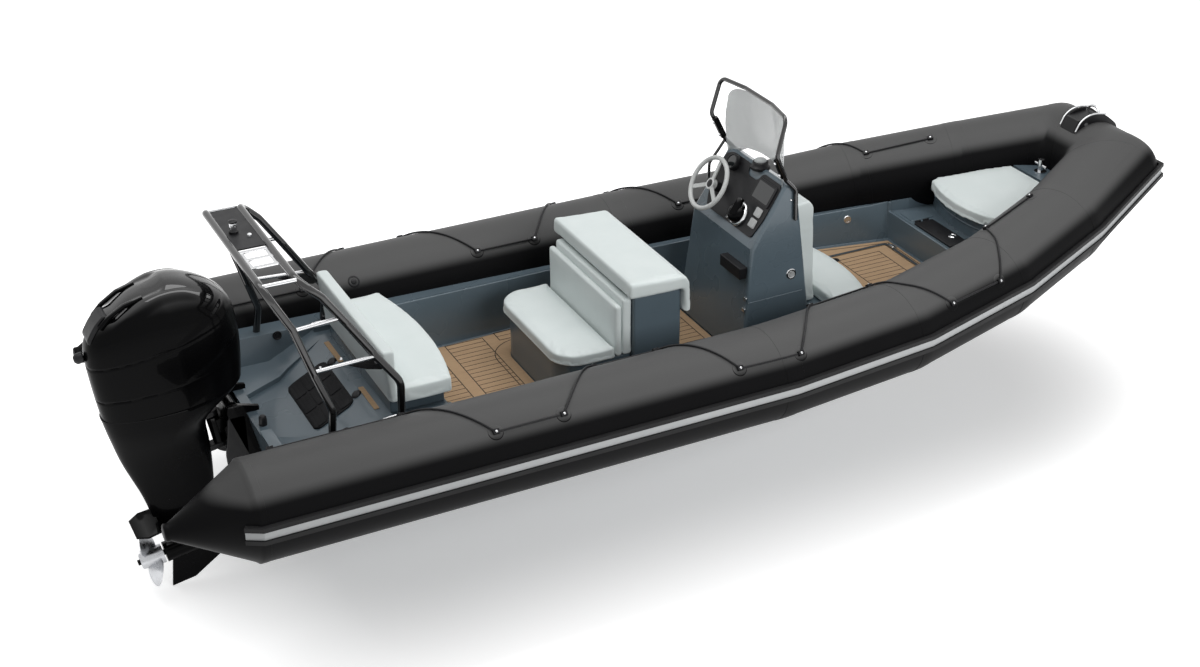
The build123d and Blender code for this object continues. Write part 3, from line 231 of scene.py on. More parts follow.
# Roll bar and screen frame: stainless tube powder coated gloss black, with a faint orange peel.
COATED = plain("gloss_black_powder_coat", "#0a0a0b", "#101011", 0.15, (0.13, 0.2), 0.004, 0.00004,
               Coat_Weight=0.6,
               Coat_Roughness=0.04)
# Deck fittings: 316 stainless, electropolished to a mirror, with hairline scratches.
STAINLESS = plain("polished_316_stainless", "#d2d3d5", "#e2e3e4", 0.05, (0.08, 0.18), 0.002, 0.00003,
                  Metallic=1.0)
# Windscreen: light smoked cast acrylic, clear and glossy, that lets most light through.
ACRYLIC = plain("smoked_cast_acrylic", "#c1c5c5", "#cbcfcf", 0.3, (0.08, 0.14), 0.01, 0.00003, Alpha=0.6,
                IOR=1.49)
# Steering wheel: self-skinning polyurethane foam, pale grey, faintly grained.
WHEEL = plain("pale_grey_polyurethane", "#bcbebd", "#cbcdcc", 0.05, (0.36, 0.48), 0.0015, 0.00008)
# Propeller: cast stainless, ground.
PROPELLER = plain("ground_stainless_propeller", "#a5a7aa", "#cbcccf", 0.04, (0.22, 0.38), 0.002, 0.00006,
                  Metallic=1.0)
# Engine block: sand-cast iron, rough and dark, out of sight under the cowl.
IRON = plain("sand_cast_iron", "#303030", "#444444", 0.03, (0.6, 0.8), 0.002, 0.0005, Metallic=0.4)

SLOT_FINISH = {
    "tube_fabric": FABRIC, "strake_rubber": STRAKE, "stripe": STRIPE, "grp_grey": GELCOAT, "teak_foam": TEAK,
    "grip_pad": GRIP, "cushion_vinyl": VINYL, "black_plastic": ABS, "black_steel": COATED,
               "stainless": STAINLESS,
    "screen_tint": ACRYLIC, "wheel_grey": WHEEL, "motor_black": LACQUER, "cast_engine": IRON,
    "propeller_steel": PROPELLER,
}
# the slot of each finish, by the finish's name
FINISH_SLOT = {finish.name: slot for slot, finish in SLOT_FINISH.items()}
FINISH_SLOT |= {CAULK.name: "teak_foam", GASKET.name: "teak_foam", GLASS.name: "black_plastic",
                SWITCH.name: "black_plastic"}
for part in frame["record"]["subparts"]:
    mesh = NODES[part["node"]].data
    mesh.materials.clear()
    mesh.materials.append(SLOT_FINISH[part["material_slot"]])


# ------------ surfaces


def grid(rows, ends=True):
    """A form over rows of points: quads between neighbours, closed round each row, with a flat face over the
    first and last rows if ends."""
    rows = np.asarray(rows, float)
    here = np.arange(rows.shape[0] * rows.shape[1]).reshape(rows.shape[:2])
    ahead = np.roll(here, -1, axis=1)
    quads = np.stack([here[:-1], ahead[:-1], ahead[1:], here[1:]], axis=-1).reshape(-1, 4)
    return rows.reshape(-1, 3), [quads, here[:1, ::-1], here[-1:]] if ends else [quads]


def ring(rows):
    """A form whose last row joins its first."""
    points, (quads,) = grid(rows, ends=False)
    count, around = rows.shape[:2]
    last, first = np.arange(around) + (count - 1) * around, np.arange(around)
    more = np.stack([last, np.roll(last, -1), np.roll(first, -1), first], axis=-1)
    return points, [np.concatenate([quads, more])]


def rounded(points):
    """Corner cutting of an open run, three times: each part keeps its points at 1/4 and 3/4 of its length,
    which tends to a quadratic B-spline."""
    run = np.asarray(points, float)
    for _ in range(3):
        cut = np.stack([0.75 * run[:-1] + 0.25 * run[1:], 0.25 * run[:-1] + 0.75 * run[1:]], axis=1)
        run = np.concatenate([run[:1], cut.reshape(-1, run.shape[1]), run[-1:]])
    return run


def unit(vectors):
    """Vectors at length one."""
    vectors = np.asarray(vectors, float)
    return vectors / np.linalg.norm(vectors, axis=-1, keepdims=True)


def circle(sides, first, second):
    """Points evenly round the unit circle that two directions span."""
    turn = np.linspace(0, 2 * np.pi, sides, endpoint=False)[:, None]
    return np.cos(turn) * first + np.sin(turn) * second


def pipe(path, radius, side, sides):
    """A pipe along a path: each row is a circle of the radius at right angles to it. The path never follows
    side."""
    path = np.asarray(path, float)
    along = unit(np.gradient(path, axis=0))
    first = unit(np.cross(along, side))
    return grid(path[:, None] + radius * circle(sides, first[:, None], np.cross(along, first)[:, None]))


def turned(profile, centre, axis, sides=48):
    """A turned form: a profile of (radius, height) pairs carried once round an axis through the centre."""
    axis = unit(axis)
    first = unit(np.cross(axis, (0.31, 0.87, 0.38)))
    radius, height = np.array(profile, float).T[:, :, None, None]
    return grid(np.asarray(centre, float) + height * axis + radius * circle(sides, first, np.cross(axis,
                                                                                                   first)))


def plate(outline, low, high, origin=(0, 0, 0), across=(1, 0, 0), up=(0, 1, 0)):
    """A flat form: an outline of (u, v) points on a plane, carried from low to high along the plane's
    normal."""
    across, up = unit(across), unit(up)
    out = np.cross(across, up)
    outline = np.asarray(outline, float)
    face = np.asarray(origin, float) + outline[:, :1] * across + outline[:, 1:] * up
    return grid(np.stack([face + low * out, face + high * out]))


def oblong(width, length, corner, centre=(0, 0)):
    """The outline of a rectangle with round corners: quarter circles joined by straight runs."""
    turn = np.linspace(0, np.pi / 2, 6)
    quarter = corner * np.column_stack([np.cos(turn), np.sin(turn)])
    half = np.array([width / 2 - corner, length / 2 - corner])
    corners = [([[1, 0], [0, 1]], (1, 1)), ([[0, 1], [-1, 0]], (-1, 1)), ([[-1, 0], [0, -1]], (-1, -1)),
               ([[0, -1], [1, 0]], (1, -1))]
    return np.concatenate([quarter @ np.array(spin) + half * sign for spin, sign in corners]) + centre


def lengthwise(outline, middle, half):
    """A flat form standing fore and aft: an outline of (x, z) points, half its thickness each side of a
    middle."""
    return plate(outline, middle - half, middle + half, (0, 0, 0), (1, 0, 0), UP)


def moved(form, function):
    """The same form with its points put through a function."""
    return function(form[0]), form[1]


def both(form):
    """A form and its mirror image in the boat's middle plane, with each face's order turned round."""
    return [form, (form[0] * (1, -1, 1), [faces[:, ::-1] for faces in form[1]])]


def made(name, forms, sharp=38.0):
    """One object from several forms in millimetres, its faces turned outwards and its edges sharp past an
    angle."""
    starts = np.cumsum([0] + [len(form[0]) for form in forms])
    faces = [face for form, start in zip(forms, starts) for group in form[1]
             for face in (group + start).tolist()]
    mesh = bpy.data.meshes.new(name)
    mesh.from_pydata((np.concatenate([form[0] for form in forms]) * MM).tolist(), [], faces)
    return shown(name, mesh, sharp)


def shown(name, mesh, sharp):
    """An object of a mesh, smooth but for edges past an angle, its faces turned outwards."""
    work = bmesh.new()
    work.from_mesh(mesh)
    bmesh.ops.remove_doubles(work, verts=work.verts, dist=1e-6)
    bmesh.ops.recalc_face_normals(work, faces=work.faces)
    work.to_mesh(mesh)
    work.free()
    # The normal's height, kept as "upward": the fabric paints its highlight where it is high, and the lacquer
    # thickens its coat there.
    heights = read(mesh, "normal")[:, 2].copy()
    mesh.attributes.new("upward", "FLOAT", "POINT").data.foreach_set("value", heights)
    mesh.shade_smooth()
    mesh.set_sharp_from_angle(angle=math.radians(sharp))
    return linked(name, mesh)


def read(mesh, kind="co"):
    """The places of a mesh's points, or their normals."""
    values = np.empty(len(mesh.vertices) * 3, np.float32)
    mesh.vertices.foreach_get(kind, values)
    return values.reshape(-1, 3)


def linked(name, data):
    """A new object in the scene."""
    thing = bpy.data.objects.new(name, data)
    bpy.context.scene.collection.objects.link(thing)
    return thing


def fitted(thing, finish, body="boat", stands_for=()):
    """The object finished in a material, riding on a body, and standing for CAD nodes if it does."""
    thing.data.materials.clear()
    thing.data.materials.append(finish)
    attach(thing, body)
    if stands_for:
        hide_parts(*stands_for)
    return thing


def piece(name, forms, finish, slot=None, body="boat", stands_for=(), sharp=38.0, ease=0):
    """Forms made into one object, finished, riding on a body, and its edges rounded if an ease is given."""
    thing = fitted(made(name, forms, sharp), finish, body, stands_for)
    return eased(thing, ease) if ease else thing


def eased(thing, width, segments=3):
    """A round of a width in millimetres on every edge sharper than 32 degrees."""
    bevel = thing.modifiers.new("eased_edges", "BEVEL")
    bevel.width, bevel.segments, bevel.limit_method = width * MM, segments, "ANGLE"
    bevel.angle_limit, bevel.harden_normals, bevel.use_clamp_overlap = math.radians(32), True, True
    return thing


def merged(node, joined=True):
    """A CAD node's mesh as one skin: its loose triangles welded, and those in one plane joined if asked."""
    work = bmesh.new()
    work.from_mesh(NODES[node].data)
    bmesh.ops.remove_doubles(work, verts=work.verts, dist=1e-5)
    if joined:
        bmesh.ops.dissolve_limit(work, angle_limit=math.radians(0.5), verts=work.verts, edges=work.edges)
    mesh = bpy.data.meshes.new(node + "_skin")
    work.to_mesh(mesh)
    work.free()
    return mesh


def dressed(node, width, joined=True, finish=None):
    """A CAD node's own form with its edges rounded as a moulding's or a casting's are."""
    part = next(p for p in frame["record"]["subparts"] if p["node"] == node)
    body = next(b for b, members in BODIES.items() if node in members)
    thing = shown(node + "_eased", merged(node, joined), 38.0)
    slot = part["material_slot"]
    return eased(fitted(thing, finish or SLOT_FINISH[slot], body, [node]), width)


# ------------ collar

TUBE_RADIUS = 270.0
TUBE_NODES = np.array([(-250, 1000, 260), (2754, 1000, 286), (3667, 928, 317), (4442, 779, 403),
                       (5110, 546, 509),
                       (5712, 253, 634)], float)
TAPE = 1.5
# distance along the tube from its stern end, and radius, from a cone's cap to past its seam
CONE = [(-430, 30), (-427, 40), (-420, 46), (-404, 46), (-400, 46), (-360, 68.4), (-200, 158), (-40, 247.6),
        (-24, 256.56), (-8, 270.5), (0, TUBE_RADIUS + TAPE), (30, TUBE_RADIUS + TAPE), (31, TUBE_RADIUS)]


def collar():
    """The tubes as one skin. Its lines meet in the plane that halves each corner of the centreline, where a
    quadratic curve rounds them. A tape stands proud over each seam."""
    nodes = np.concatenate([TUBE_NODES, TUBE_NODES[::-1] * (1, -1, 1)])
    along = unit(np.diff(nodes, axis=0))
    up = unit(np.array([0, 0, 1.0]) - along[0] * along[0, 2])
    around = circle(96, np.cross(up, along[0]), up)
    rows = [nodes[0] + along[0] * step + around * radius for step, radius in CONE]
    for place in range(1, len(nodes) - 1):
        before, after = along[place - 1], along[place]
        half = unit(before + after)
        met = around - before * ((around @ half) / (before @ half))[:, None]
        axis = np.cross(before, after)
        sine, cosine = np.linalg.norm(axis), before @ after
        axis = axis / sine
        wide = 62.0 if sine > 0.5 else 26.0
        edge = [(-wide - 30, 0.0), (-wide - 29, TAPE), (-wide, TAPE)]
        corner = nodes[place] + met * (TUBE_RADIUS + TAPE)
        rows += [nodes[place] + met * (TUBE_RADIUS + rise) + before * step for step, rise in edge]
        rows += [corner - before * wide * (1 - p) ** 2 + after * wide * p ** 2
                 for p in np.linspace(0, 1, 7)[1:-1]]
        rows += [nodes[place] + met * (TUBE_RADIUS + rise) - after * step for step, rise in edge[::-1]]
        around = (around * cosine + np.cross(axis, around) * sine + axis * (around @ axis)[:, None]
                  * (1 - cosine))
    rows += [nodes[-1] - along[-1] * step + around * radius for step, radius in CONE[::-1]]
    skin = made("collar", [grid(rows)], sharp=45)
    # How far each point stands above the centreline beside it: the fabric lays its painted highlight where
    # this is high.
    spots = read(skin.data)[:, None] / MM
    runs = np.diff(nodes, axis=0)
    part = np.clip(np.sum((spots - nodes[:-1]) * runs, axis=2) / np.sum(runs * runs, axis=1), 0, 1)
    off = spots - nodes[:-1] - part[..., None] * runs
    nearest = np.argmin(np.linalg.norm(off, axis=2), axis=1)
    up = unit(off[np.arange(len(off)), nearest])[:, 2]
    skin.data.attributes["upward"].data.foreach_set("value", up.astype(np.float32))
    fitted(skin, FABRIC, "boat", ["tube_port", "tube_starboard", "tube_bow"])


def on_collar(distance, angle):
    """A point of the port centreline at a distance along it, and the directions out from it and along it
    there."""
    steps = np.diff(TUBE_NODES, axis=0)
    ends = np.cumsum(np.linalg.norm(steps, axis=1))
    place = int(min(np.searchsorted(ends, distance), len(ends) - 1))
    ahead = unit(steps[place])
    start = TUBE_NODES[place + 1] - ahead * (ends[place] - distance)
    up = unit(np.array([0, 0, 1.0]) - ahead * ahead[2])
    away = np.cross(up, ahead) * math.cos(math.radians(angle)) + up * math.sin(math.radians(angle))
    return start, away, ahead


# ------------ cushions


def stuffed(node, shrink, voxel, cap, ease):
    """A cushion: the CAD form rounded, remeshed, drawn in and relaxed, then blown up as cloth with its
    underside held and no point moved further than the cap."""
    scene, quick = bpy.context.scene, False
    thing = linked(node + "_cushion", merged(node))
    eased(thing, 16, 4)
    remesh = thing.modifiers.new("skin", "REMESH")
    remesh.mode, remesh.voxel_size = "VOXEL", (voxel * 1.6 if quick else voxel) * MM
    draw = thing.modifiers.new("draw_in", "DISPLACE")
    draw.strength, draw.mid_level = -shrink * MM, 0.0
    relax = thing.modifiers.new("relax", "SMOOTH")
    relax.factor, relax.iterations = 0.5, ease
    taken = bpy.data.meshes.new_from_object(thing.evaluated_get(bpy.context.evaluated_depsgraph_get()))
    thing.modifiers.clear()
    thing.data = taken
    if not quick:
        rest = read(taken).astype(float)
        held = thing.vertex_groups.new(name="held")
        under = np.flatnonzero(rest[:, 2] < rest[:, 2].min() + 0.006)
        held.add(under.tolist(), 1.0, "REPLACE")
        cloth = thing.modifiers.new("cloth", "CLOTH")
        rules = cloth.settings
        rules.quality, rules.mass, rules.use_pressure, rules.uniform_pressure_force = 4, 0.3, True, 4.0
        rules.tension_stiffness = rules.compression_stiffness = 18.0
        rules.bending_stiffness = 2.0
        rules.effector_weights.gravity = 0.0
        rules.vertex_group_mass = "held"
        cloth.point_cache.frame_start, cloth.point_cache.frame_end = 1, 20
        for frame_number in range(1, 21):
            scene.frame_set(frame_number)
        move = read(thing.evaluated_get(bpy.context.evaluated_depsgraph_get()).to_mesh()) - rest
        thing.modifiers.clear()
        thing.vertex_groups.clear()
        far = np.linalg.norm(move, axis=1, keepdims=True)
        rest = rest + move * np.minimum(1.0, cap * MM / np.maximum(far, 1e-9))
        scene.frame_set(1)
        taken.vertices.foreach_set("co", rest.astype(np.float32).ravel())
    taken.shade_smooth()
    extra = thing.modifiers.new("finer", "SUBSURF")
    extra.levels = extra.render_levels = 1
    fitted(thing, VINYL, "boat", [node])


# each cushion's draw-in, voxel and cap in millimetres, and the rounds of easing after the remesh
CUSHIONS = {"jockey_cushion": (4, 9, 8, 6), "helm_cushion": (4, 10, 8, 6), "helm_back_aft": (3, 7, 5, 4),
            "helm_back_forward": (3, 8, 6, 4), "bench_cushion": (4, 10, 8, 6), "bench_back": (4, 9, 8, 6),
            "front_cushion": (4, 9, 8, 6), "front_back": (4, 9, 8, 6), "bow_cushion": (4, 8, 8, 6)}


# ------------ motor

TILT_PIVOT = np.array([-70.0, 0.0, 330.0])
TRIM = math.radians(10.0)
# z, aft x, forward x, half width, and the aft end's share of it, of each level of the cowl, the pan and the
# leg
COWL_LEVELS = [
    (176, -644, 120, 246, 0.66), (290, -640, 150, 252, 0.66), (400, -634, 172, 256, 0.66), (520, -624, 184,
                                                                                            256, 0.66),
    (610, -606, 180, 250, 0.67), (690, -545, 130, 232, 0.69), (752, -466, 62, 200, 0.71), (800, -380, -8,
                                                                                           152, 0.73),
    (828, -320, -70, 98, 0.75), (840, -230, -130, 40, 0.8),
]
# the pan and the leg in one run, down to the plate over the propeller
LEG_LEVELS = [
    (170, -648, 118, 248, 0.66), (130, -648, 86, 240, 0.67), (70, -646, -30, 218, 0.68), (0, -641, -120, 184,
                                                                                          0.7),
    (-70, -637, -144, 152, 0.72), (-150, -628, -148, 124, 0.74), (-250, -610, -160, 97, 0.75),
    (-360, -589, -180, 75, 0.76), (-460, -580, -202, 62, 0.78), (-522, -576, -214, 57, 0.8),
]


def upright(points):
    """Points in the upright motor's own frame, turned 10 degrees about the tilt pivot to where it rests."""
    points = np.asarray(points, float)
    x, z = points[:, 0], points[:, 2]
    return np.column_stack([x * math.cos(TRIM) - z * math.sin(TRIM), points[:, 1],
                            x * math.sin(TRIM) + z * math.cos(TRIM)]) + TILT_PIVOT


def smooth_table(table, count):
    """Rows between a table's on a smooth curve, at even steps of its length."""
    run = rounded(table)
    far = np.concatenate([[0], np.cumsum(np.linalg.norm(np.diff(run, axis=0), axis=1))])
    steps = np.linspace(0, far[-1], count)
    return np.column_stack([np.interp(steps, far, column) for column in run.T])


def levels(table, count, sides, nose):
    """Rows of a body drawn by levels. The half width is the table's times (1 - |u| ** nose) ** (1 / nose),
    where u runs from -1 aft to 1 forward, and it narrows evenly from amidships to the aft end's share."""
    table = smooth_table(np.array(table, float), count)
    turn = np.linspace(0, 2 * np.pi, sides, endpoint=False)
    u = np.sign(np.cos(turn)) * np.abs(np.cos(turn)) ** (2 / nose)
    v = np.sign(np.sin(turn)) * np.abs(np.sin(turn)) ** (2 / nose)
    z, aft, forward, half, share = table.T[:, :, None]
    x = (aft + forward) / 2 + (forward - aft) / 2 * u
    narrow = share + (1 - share) * np.clip((u + 1) / 1.1, 0, 1)
    return np.stack([x, half * narrow * v, z + 0 * x], axis=-1), u, v


def bump(value, low, high, soft):
    """1 between low and high and 0 outside, passing smoothly over a soft width at each end."""
    rise = np.clip((value - low) / soft, 0, 1)
    fall = np.clip((high - value) / soft, 0, 1)
    return (rise * rise * (3 - 2 * rise)) * (fall * fall * (3 - 2 * fall))


def cowl():
    """The cowl: rounded levels, with a shallow dish along the top, a raised panel on each side and grooves
    round the aft part as smooth offsets."""
    rows, u, v = levels(COWL_LEVELS, 150, 192, nose=2.6)
    x, y, height = rows[..., 0], rows[..., 1], rows[..., 2]
    crown = bump(height, 690, 900, 60)
    dish = bump(x, -470, -110, 70) * bump(np.abs(y), -150, 128, 46) * crown
    rows[..., 2] -= 20 * dish
    ridge = bump(x, -500, 60, 110) * bump(np.abs(y), 118, 186, 32) * crown
    rows[..., 2] += 10 * ridge
    side = unit(np.stack([u * 0.6, v, 0 * u], axis=-1))
    lean = height - (280 + (x + 300) * 0.35)
    panel = bump(x, -210, 150, 40) * bump(lean, 0, 250, 36) * bump(np.abs(v), 0.25, 1.2, 0.3)
    tail = 0.5 + 0.5 * np.clip(-(x + 150) / 300, -1, 1)
    groove = (bump(height - (560 + 0.10 * x), -7, 7, 6) + bump(height - (330 + 0.05 * x), -6, 6, 5)) * tail
    rows += (7 * panel - 5 * groove)[..., None] * side
    return grid(rows)


def blade(turn):
    """One propeller blade of thin lens sections: it twists from 64 degrees at the hub to 30 at its round
    tip."""
    part = np.linspace(0, 1, 14)[:, None]
    reach = 40 + 134 * part
    chord = 84 * np.sqrt(np.clip(1 - (np.abs(part - 0.42) / 0.62) ** 2.4, 0.0, 1)) + 6
    thick = 7.0 * (1 - 0.75 * part)
    spin = np.linspace(0, 2 * np.pi, 24, endpoint=False)[None, :]
    across, depth = chord * np.cos(spin), thick * np.sin(spin)
    twist = np.radians(64 - 34 * part)
    x = across * np.sin(twist) * 0.62 + depth * np.cos(twist) - 70 - 14 * part
    side = across * np.cos(twist) * 0.9 - depth * np.sin(twist) + 16 * part ** 2
    return np.stack([x, side * math.cos(turn) - reach * math.sin(turn),
                     side * math.sin(turn) + reach * math.cos(turn)], axis=-1)


def motor():
    """The cowl, the pan with the leg, the mounts between them and the bracket, the handle and the
    propeller."""

    def tilted(name, forms, finish, **rules):
        """A piece that rides on the steered motor, from forms in the upright motor's frame."""
        return piece(name, [moved(form, upright) for form in forms], finish, **{"body": "steer", **rules})

    tilted("cowl", [cowl()], LACQUER, stands_for=["cowl_top"], sharp=50)
    rows = levels(LEG_LEVELS, 110, 128, nose=2.4)[0]
    lip = np.concatenate([rows[:1] + (0, 0, 7), rows[:1], rows[:1] + (0, 0, -6)]) * (1.004, 1.014, 1)
    tilted("pan_and_leg", [grid(rows), grid(lip)], LACQUER, stands_for=["cowl_pan", "midsection"], sharp=50)
    shaft = [turned([(0, -258), (20, -258), (20, -24), (0, -24)], (-95, 0, 0), UP, 40)]
    for low in (-258, -56):
        shaft += [turned([(0, low), (32, low), (32, low + 32), (0, low + 32)], (-95, 0, 0), UP, 48),
                  plate([(-185, -32), (-95, -32), (-95, 32), (-185, 32)], low, low + 32)]
    tilted("steering_yokes", shaft, ABS, slot="motor_black", ease=3)
    cheek = filleted([(-4, 292), (-4, -62), (-74, -74), (-128, -40), (-134, 60), (-116, 180), (-104, 292)],
                     26)
    web = plate([(-3, -110), (-3, 110), (-24, 110), (-24, -110)], -50, 180)
    piece("bracket_cheeks", [lengthwise(cheek, 129, 11), lengthwise(cheek, -129, 11), web], ABS,
          "motor_black", ease=7)
    # Past 900 mm from the tilt pivot the handle and its rails would meet the roll bar when the motor is up.
    knob = turned([(0, 34), (14, 33), (24, 27), (29, 16), (29, -20)], (-638, 0, 556), (-1, 0, 0))
    fin = filleted([(-540, 600), (-440, 680), (-424, 744), (-462, 770), (-526, 726), (-592, 650)], 34)
    rails = [pipe([(-500, y, 716), (-440, y, 760), (-350, y * 1.05, 796), (-250, y * 1.1, 806)], 13,
                  (0, 1, 0), 14)
             for y in (-84, 84)]
    tilted("cowl_handle", [lengthwise(fin, 0, 66), knob], ABS, sharp=40, ease=10)
    tilted("cowl_rails", rails, LACQUER)
    centre = np.array([-584.0, 0.0, -776.0])
    blades = [grid(blade(turn) + centre) for turn in np.radians([0, 120, 240])]
    hub = turned([(17, -6), (56, -6), (56, -20), (52, -90), (46, -130), (40, -137), (17, -137)], centre,
                 (1, 0, 0), 64)
    tilted("propeller_blades", [*blades, hub], PROPELLER, body="propeller", stands_for=["propeller"],
           sharp=40)
    for node, width in (("lower_unit", 4), ("clamp_bracket", 3), ("swivel_bracket", 3)):
        dressed(node, width)


# ------------ deck


def filleted(points, reach, steps=7):
    """A closed outline with each corner replaced by a quadratic curve that starts and ends the reach away
    from it."""
    spots = np.asarray(points, float)
    back, ahead = np.roll(spots, 1, axis=0) - spots, np.roll(spots, -1, axis=0) - spots
    short = np.minimum(np.linalg.norm(back, axis=1), np.linalg.norm(ahead, axis=1))
    reach = np.minimum(reach, 0.48 * short)[:, None]
    t = np.linspace(0, 1, steps)[None, :, None]
    run = ((spots + unit(back) * reach)[:, None] * (1 - t) ** 2 + 2 * spots[:, None] * t * (1 - t)
           + (spots + unit(ahead) * reach)[:, None] * t ** 2)
    return run.reshape(-1, spots.shape[1])


def ribbon(path, width, low, high, closed=False):
    """A strip along a path in plan, from one height to another. At a mitred corner each edge stands off along
    the sum of the two runs' side directions over one plus their product."""
    path = np.asarray(path, float)
    ahead = unit(np.diff(np.concatenate([path, path[:1]]) if closed else path, axis=0))
    side = np.column_stack([-ahead[:, 1], ahead[:, 0]])
    before = np.roll(side, 1, axis=0) if closed else np.concatenate([side[:1], side])
    after = side if closed else np.concatenate([side, side[-1:]])
    off = (before + after) / (1 + np.sum(before * after, axis=1, keepdims=True)) * width / 2
    rows = np.stack([np.column_stack([spots, np.full(len(path), z)]) for spots, z in
                     ((path + off, low), (path - off, low), (path - off, high), (path + off, high))], axis=1)
    return ring(rows) if closed else grid(rows)


def box_path(x_low, x_high, y_low, y_high):
    """A rectangle's corners in plan."""
    return [(x_low, y_low), (x_high, y_low), (x_high, y_high), (x_low, y_high)]


# distance along the tube from its stern end, and degrees up from its outer side, of each eyelet
EYELETS_AT = [(190, 135), (891, 135), (1263, 47), (1645, 47), (2002, 135), (2383, 135), (2692, 46),
              (3063, 44),
              (3405, 130), (3821, 128), (4121, 36), (4504, 33), (4804, 116), (5241, 112)]
PLANK = 48.0
LINE = 6.0


def planked(x_low, x_high, y_low, y_high, top):
    """The caulking of one field of planks: its border, and a line along it between each plank and the
    next."""
    lines = np.arange(y_low + PLANK, y_high - PLANK / 3, PLANK)
    return [ribbon(box_path(x_low, x_high, y_low, y_high), LINE, top - 1, top + 0.7, closed=True),
            *[ribbon([(x_low, y), (x_high, y)], LINE * 0.75, top - 1, top + 0.6) for y in lines]]


def decks():
    """Caulking lines on the two decks and the hatch, and the hatch's gasket, hinges and latch."""
    top = -4.0
    fields = [(1425, 1670, -565, 585), (1105, 1345, -560, 560), (1755, 2560, 510, 610), (1755, 2560, -610,
                                                                                         -510),
              (2560, 2880, -560, 560)]
    forms = [line for field in fields for line in planked(*field, top)]
    bend = np.linspace(0, np.pi / 2, 9)
    for side in (1, -1):
        curve = np.column_stack([1848 - 205 * np.cos(bend), side * (282 + 205 * np.sin(bend))])
        forms.append(ribbon(np.concatenate([[(1643, 0)], curve, [(2500, side * 487)]]), LINE, top - 1, top
                            + 0.7))
    piece("caulking_aft", forms, CAULK)
    top = 126.0
    margin = ribbon([(4478, -365), (4478, 365), (3860, 490)], LINE, top - 1, top + 0.7)
    piece("caulking_forward", [*planked(3830, 3925, -400, 400, top), margin], CAULK)
    piece("hatch_caulking", planked(4042, 4352, -285, 285, top), CAULK, body="deck_hatch")
    around = filleted(box_path(3943, 4457, -362, 362), 30, 5)
    piece("hatch_gasket", [ribbon(around, 22, top - 2, top + 1.6, closed=True)], GASKET)
    leaves = [plate(oblong(34, 62, 8, (4468, y)), top, top + 6) for y in (300, -300)]
    knuckles = [turned([(0, -30), (7, -30), (8, -27), (8, 27), (7, 30), (0, 30)], (4455, y, top + 9),
                       (0, 1, 0), 16)
                for y in (300, -300)]
    piece("hatch_hinges", leaves + knuckles, STAINLESS)
    piece("hatch_latch", [plate(oblong(84, 52, 24, (4012, 302)), top - 1, top + 2.2),
                          plate(oblong(58, 16, 7, (4012, 302)), top + 2, top + 8)], ABS, body="deck_hatch")


def tube_patches():
    """Round reinforcing patches of the tube's own fabric under the eyelets, a rivet on each, and the
    valves."""
    turn = np.linspace(0, 2 * np.pi, 32, endpoint=False)
    profile = np.array([(0.5, 2.0), (20, 2.0), (37, 1.9), (41, 1.3), (42, 0.2), (42, -2)])
    patches, rivets = [], []
    for distance, angle in EYELETS_AT:
        centre, away, ahead = on_collar(distance, angle)
        round_it = np.cross(ahead, away)
        arc = profile[:, :1] * np.sin(turn) / TUBE_RADIUS
        reach = TUBE_RADIUS + profile[:, 1:, None]
        rows = (centre + (profile[:, :1] * np.cos(turn))[..., None] * ahead
                + reach * (np.cos(arc)[..., None] * away + np.sin(arc)[..., None] * round_it))
        patches += both(grid(rows))
        rivets += both(turned([(0, 4), (4, 3.4), (6.5, 1.2), (7, -2)], centre + away * (TUBE_RADIUS + 20),
                              away, 16))
    piece("eyelet_patches", patches, FABRIC, sharp=50)
    piece("eyelet_rivets", rivets, STAINLESS)
    away = unit([0, -0.737, 0.676])
    spot = np.array([952, 1000, 266.0]) + away * TUBE_RADIUS
    valve = turned([(0, 7), (14, 7), (17, 5), (18, 2), (26, 2), (27, 6), (32, 6), (36, 3), (38, -2)], spot,
                   away, 40)
    piece("valve", both(valve), ABS)


# ------------ console

DASH_MIDDLE = np.array([3123.0, 0.0, 903.5])
DASH_UP = unit([206.0, 0.0, 333.0])
DASH_OUT = unit([-333.0, 0.0, 206.0])
DASH_FACE = 8.0
HUB_FACE = 79.0


def on_dash(across, up, out=0.0):
    """A place on the dash's slope, or out from its face."""
    return DASH_MIDDLE + np.array([0, -1.0, 0]) * across + DASH_UP * up + DASH_OUT * (DASH_FACE + out)


def dash_plate(width, height, corner, at, low, high):
    """A plate with round corners on the dash."""
    return plate(oblong(width, height, corner), low, high, on_dash(*at), (0, -1, 0), DASH_UP)


def dial(profile, at, sides=64):
    """A turned form on the dash."""
    return turned(profile, on_dash(*at), DASH_OUT, sides)


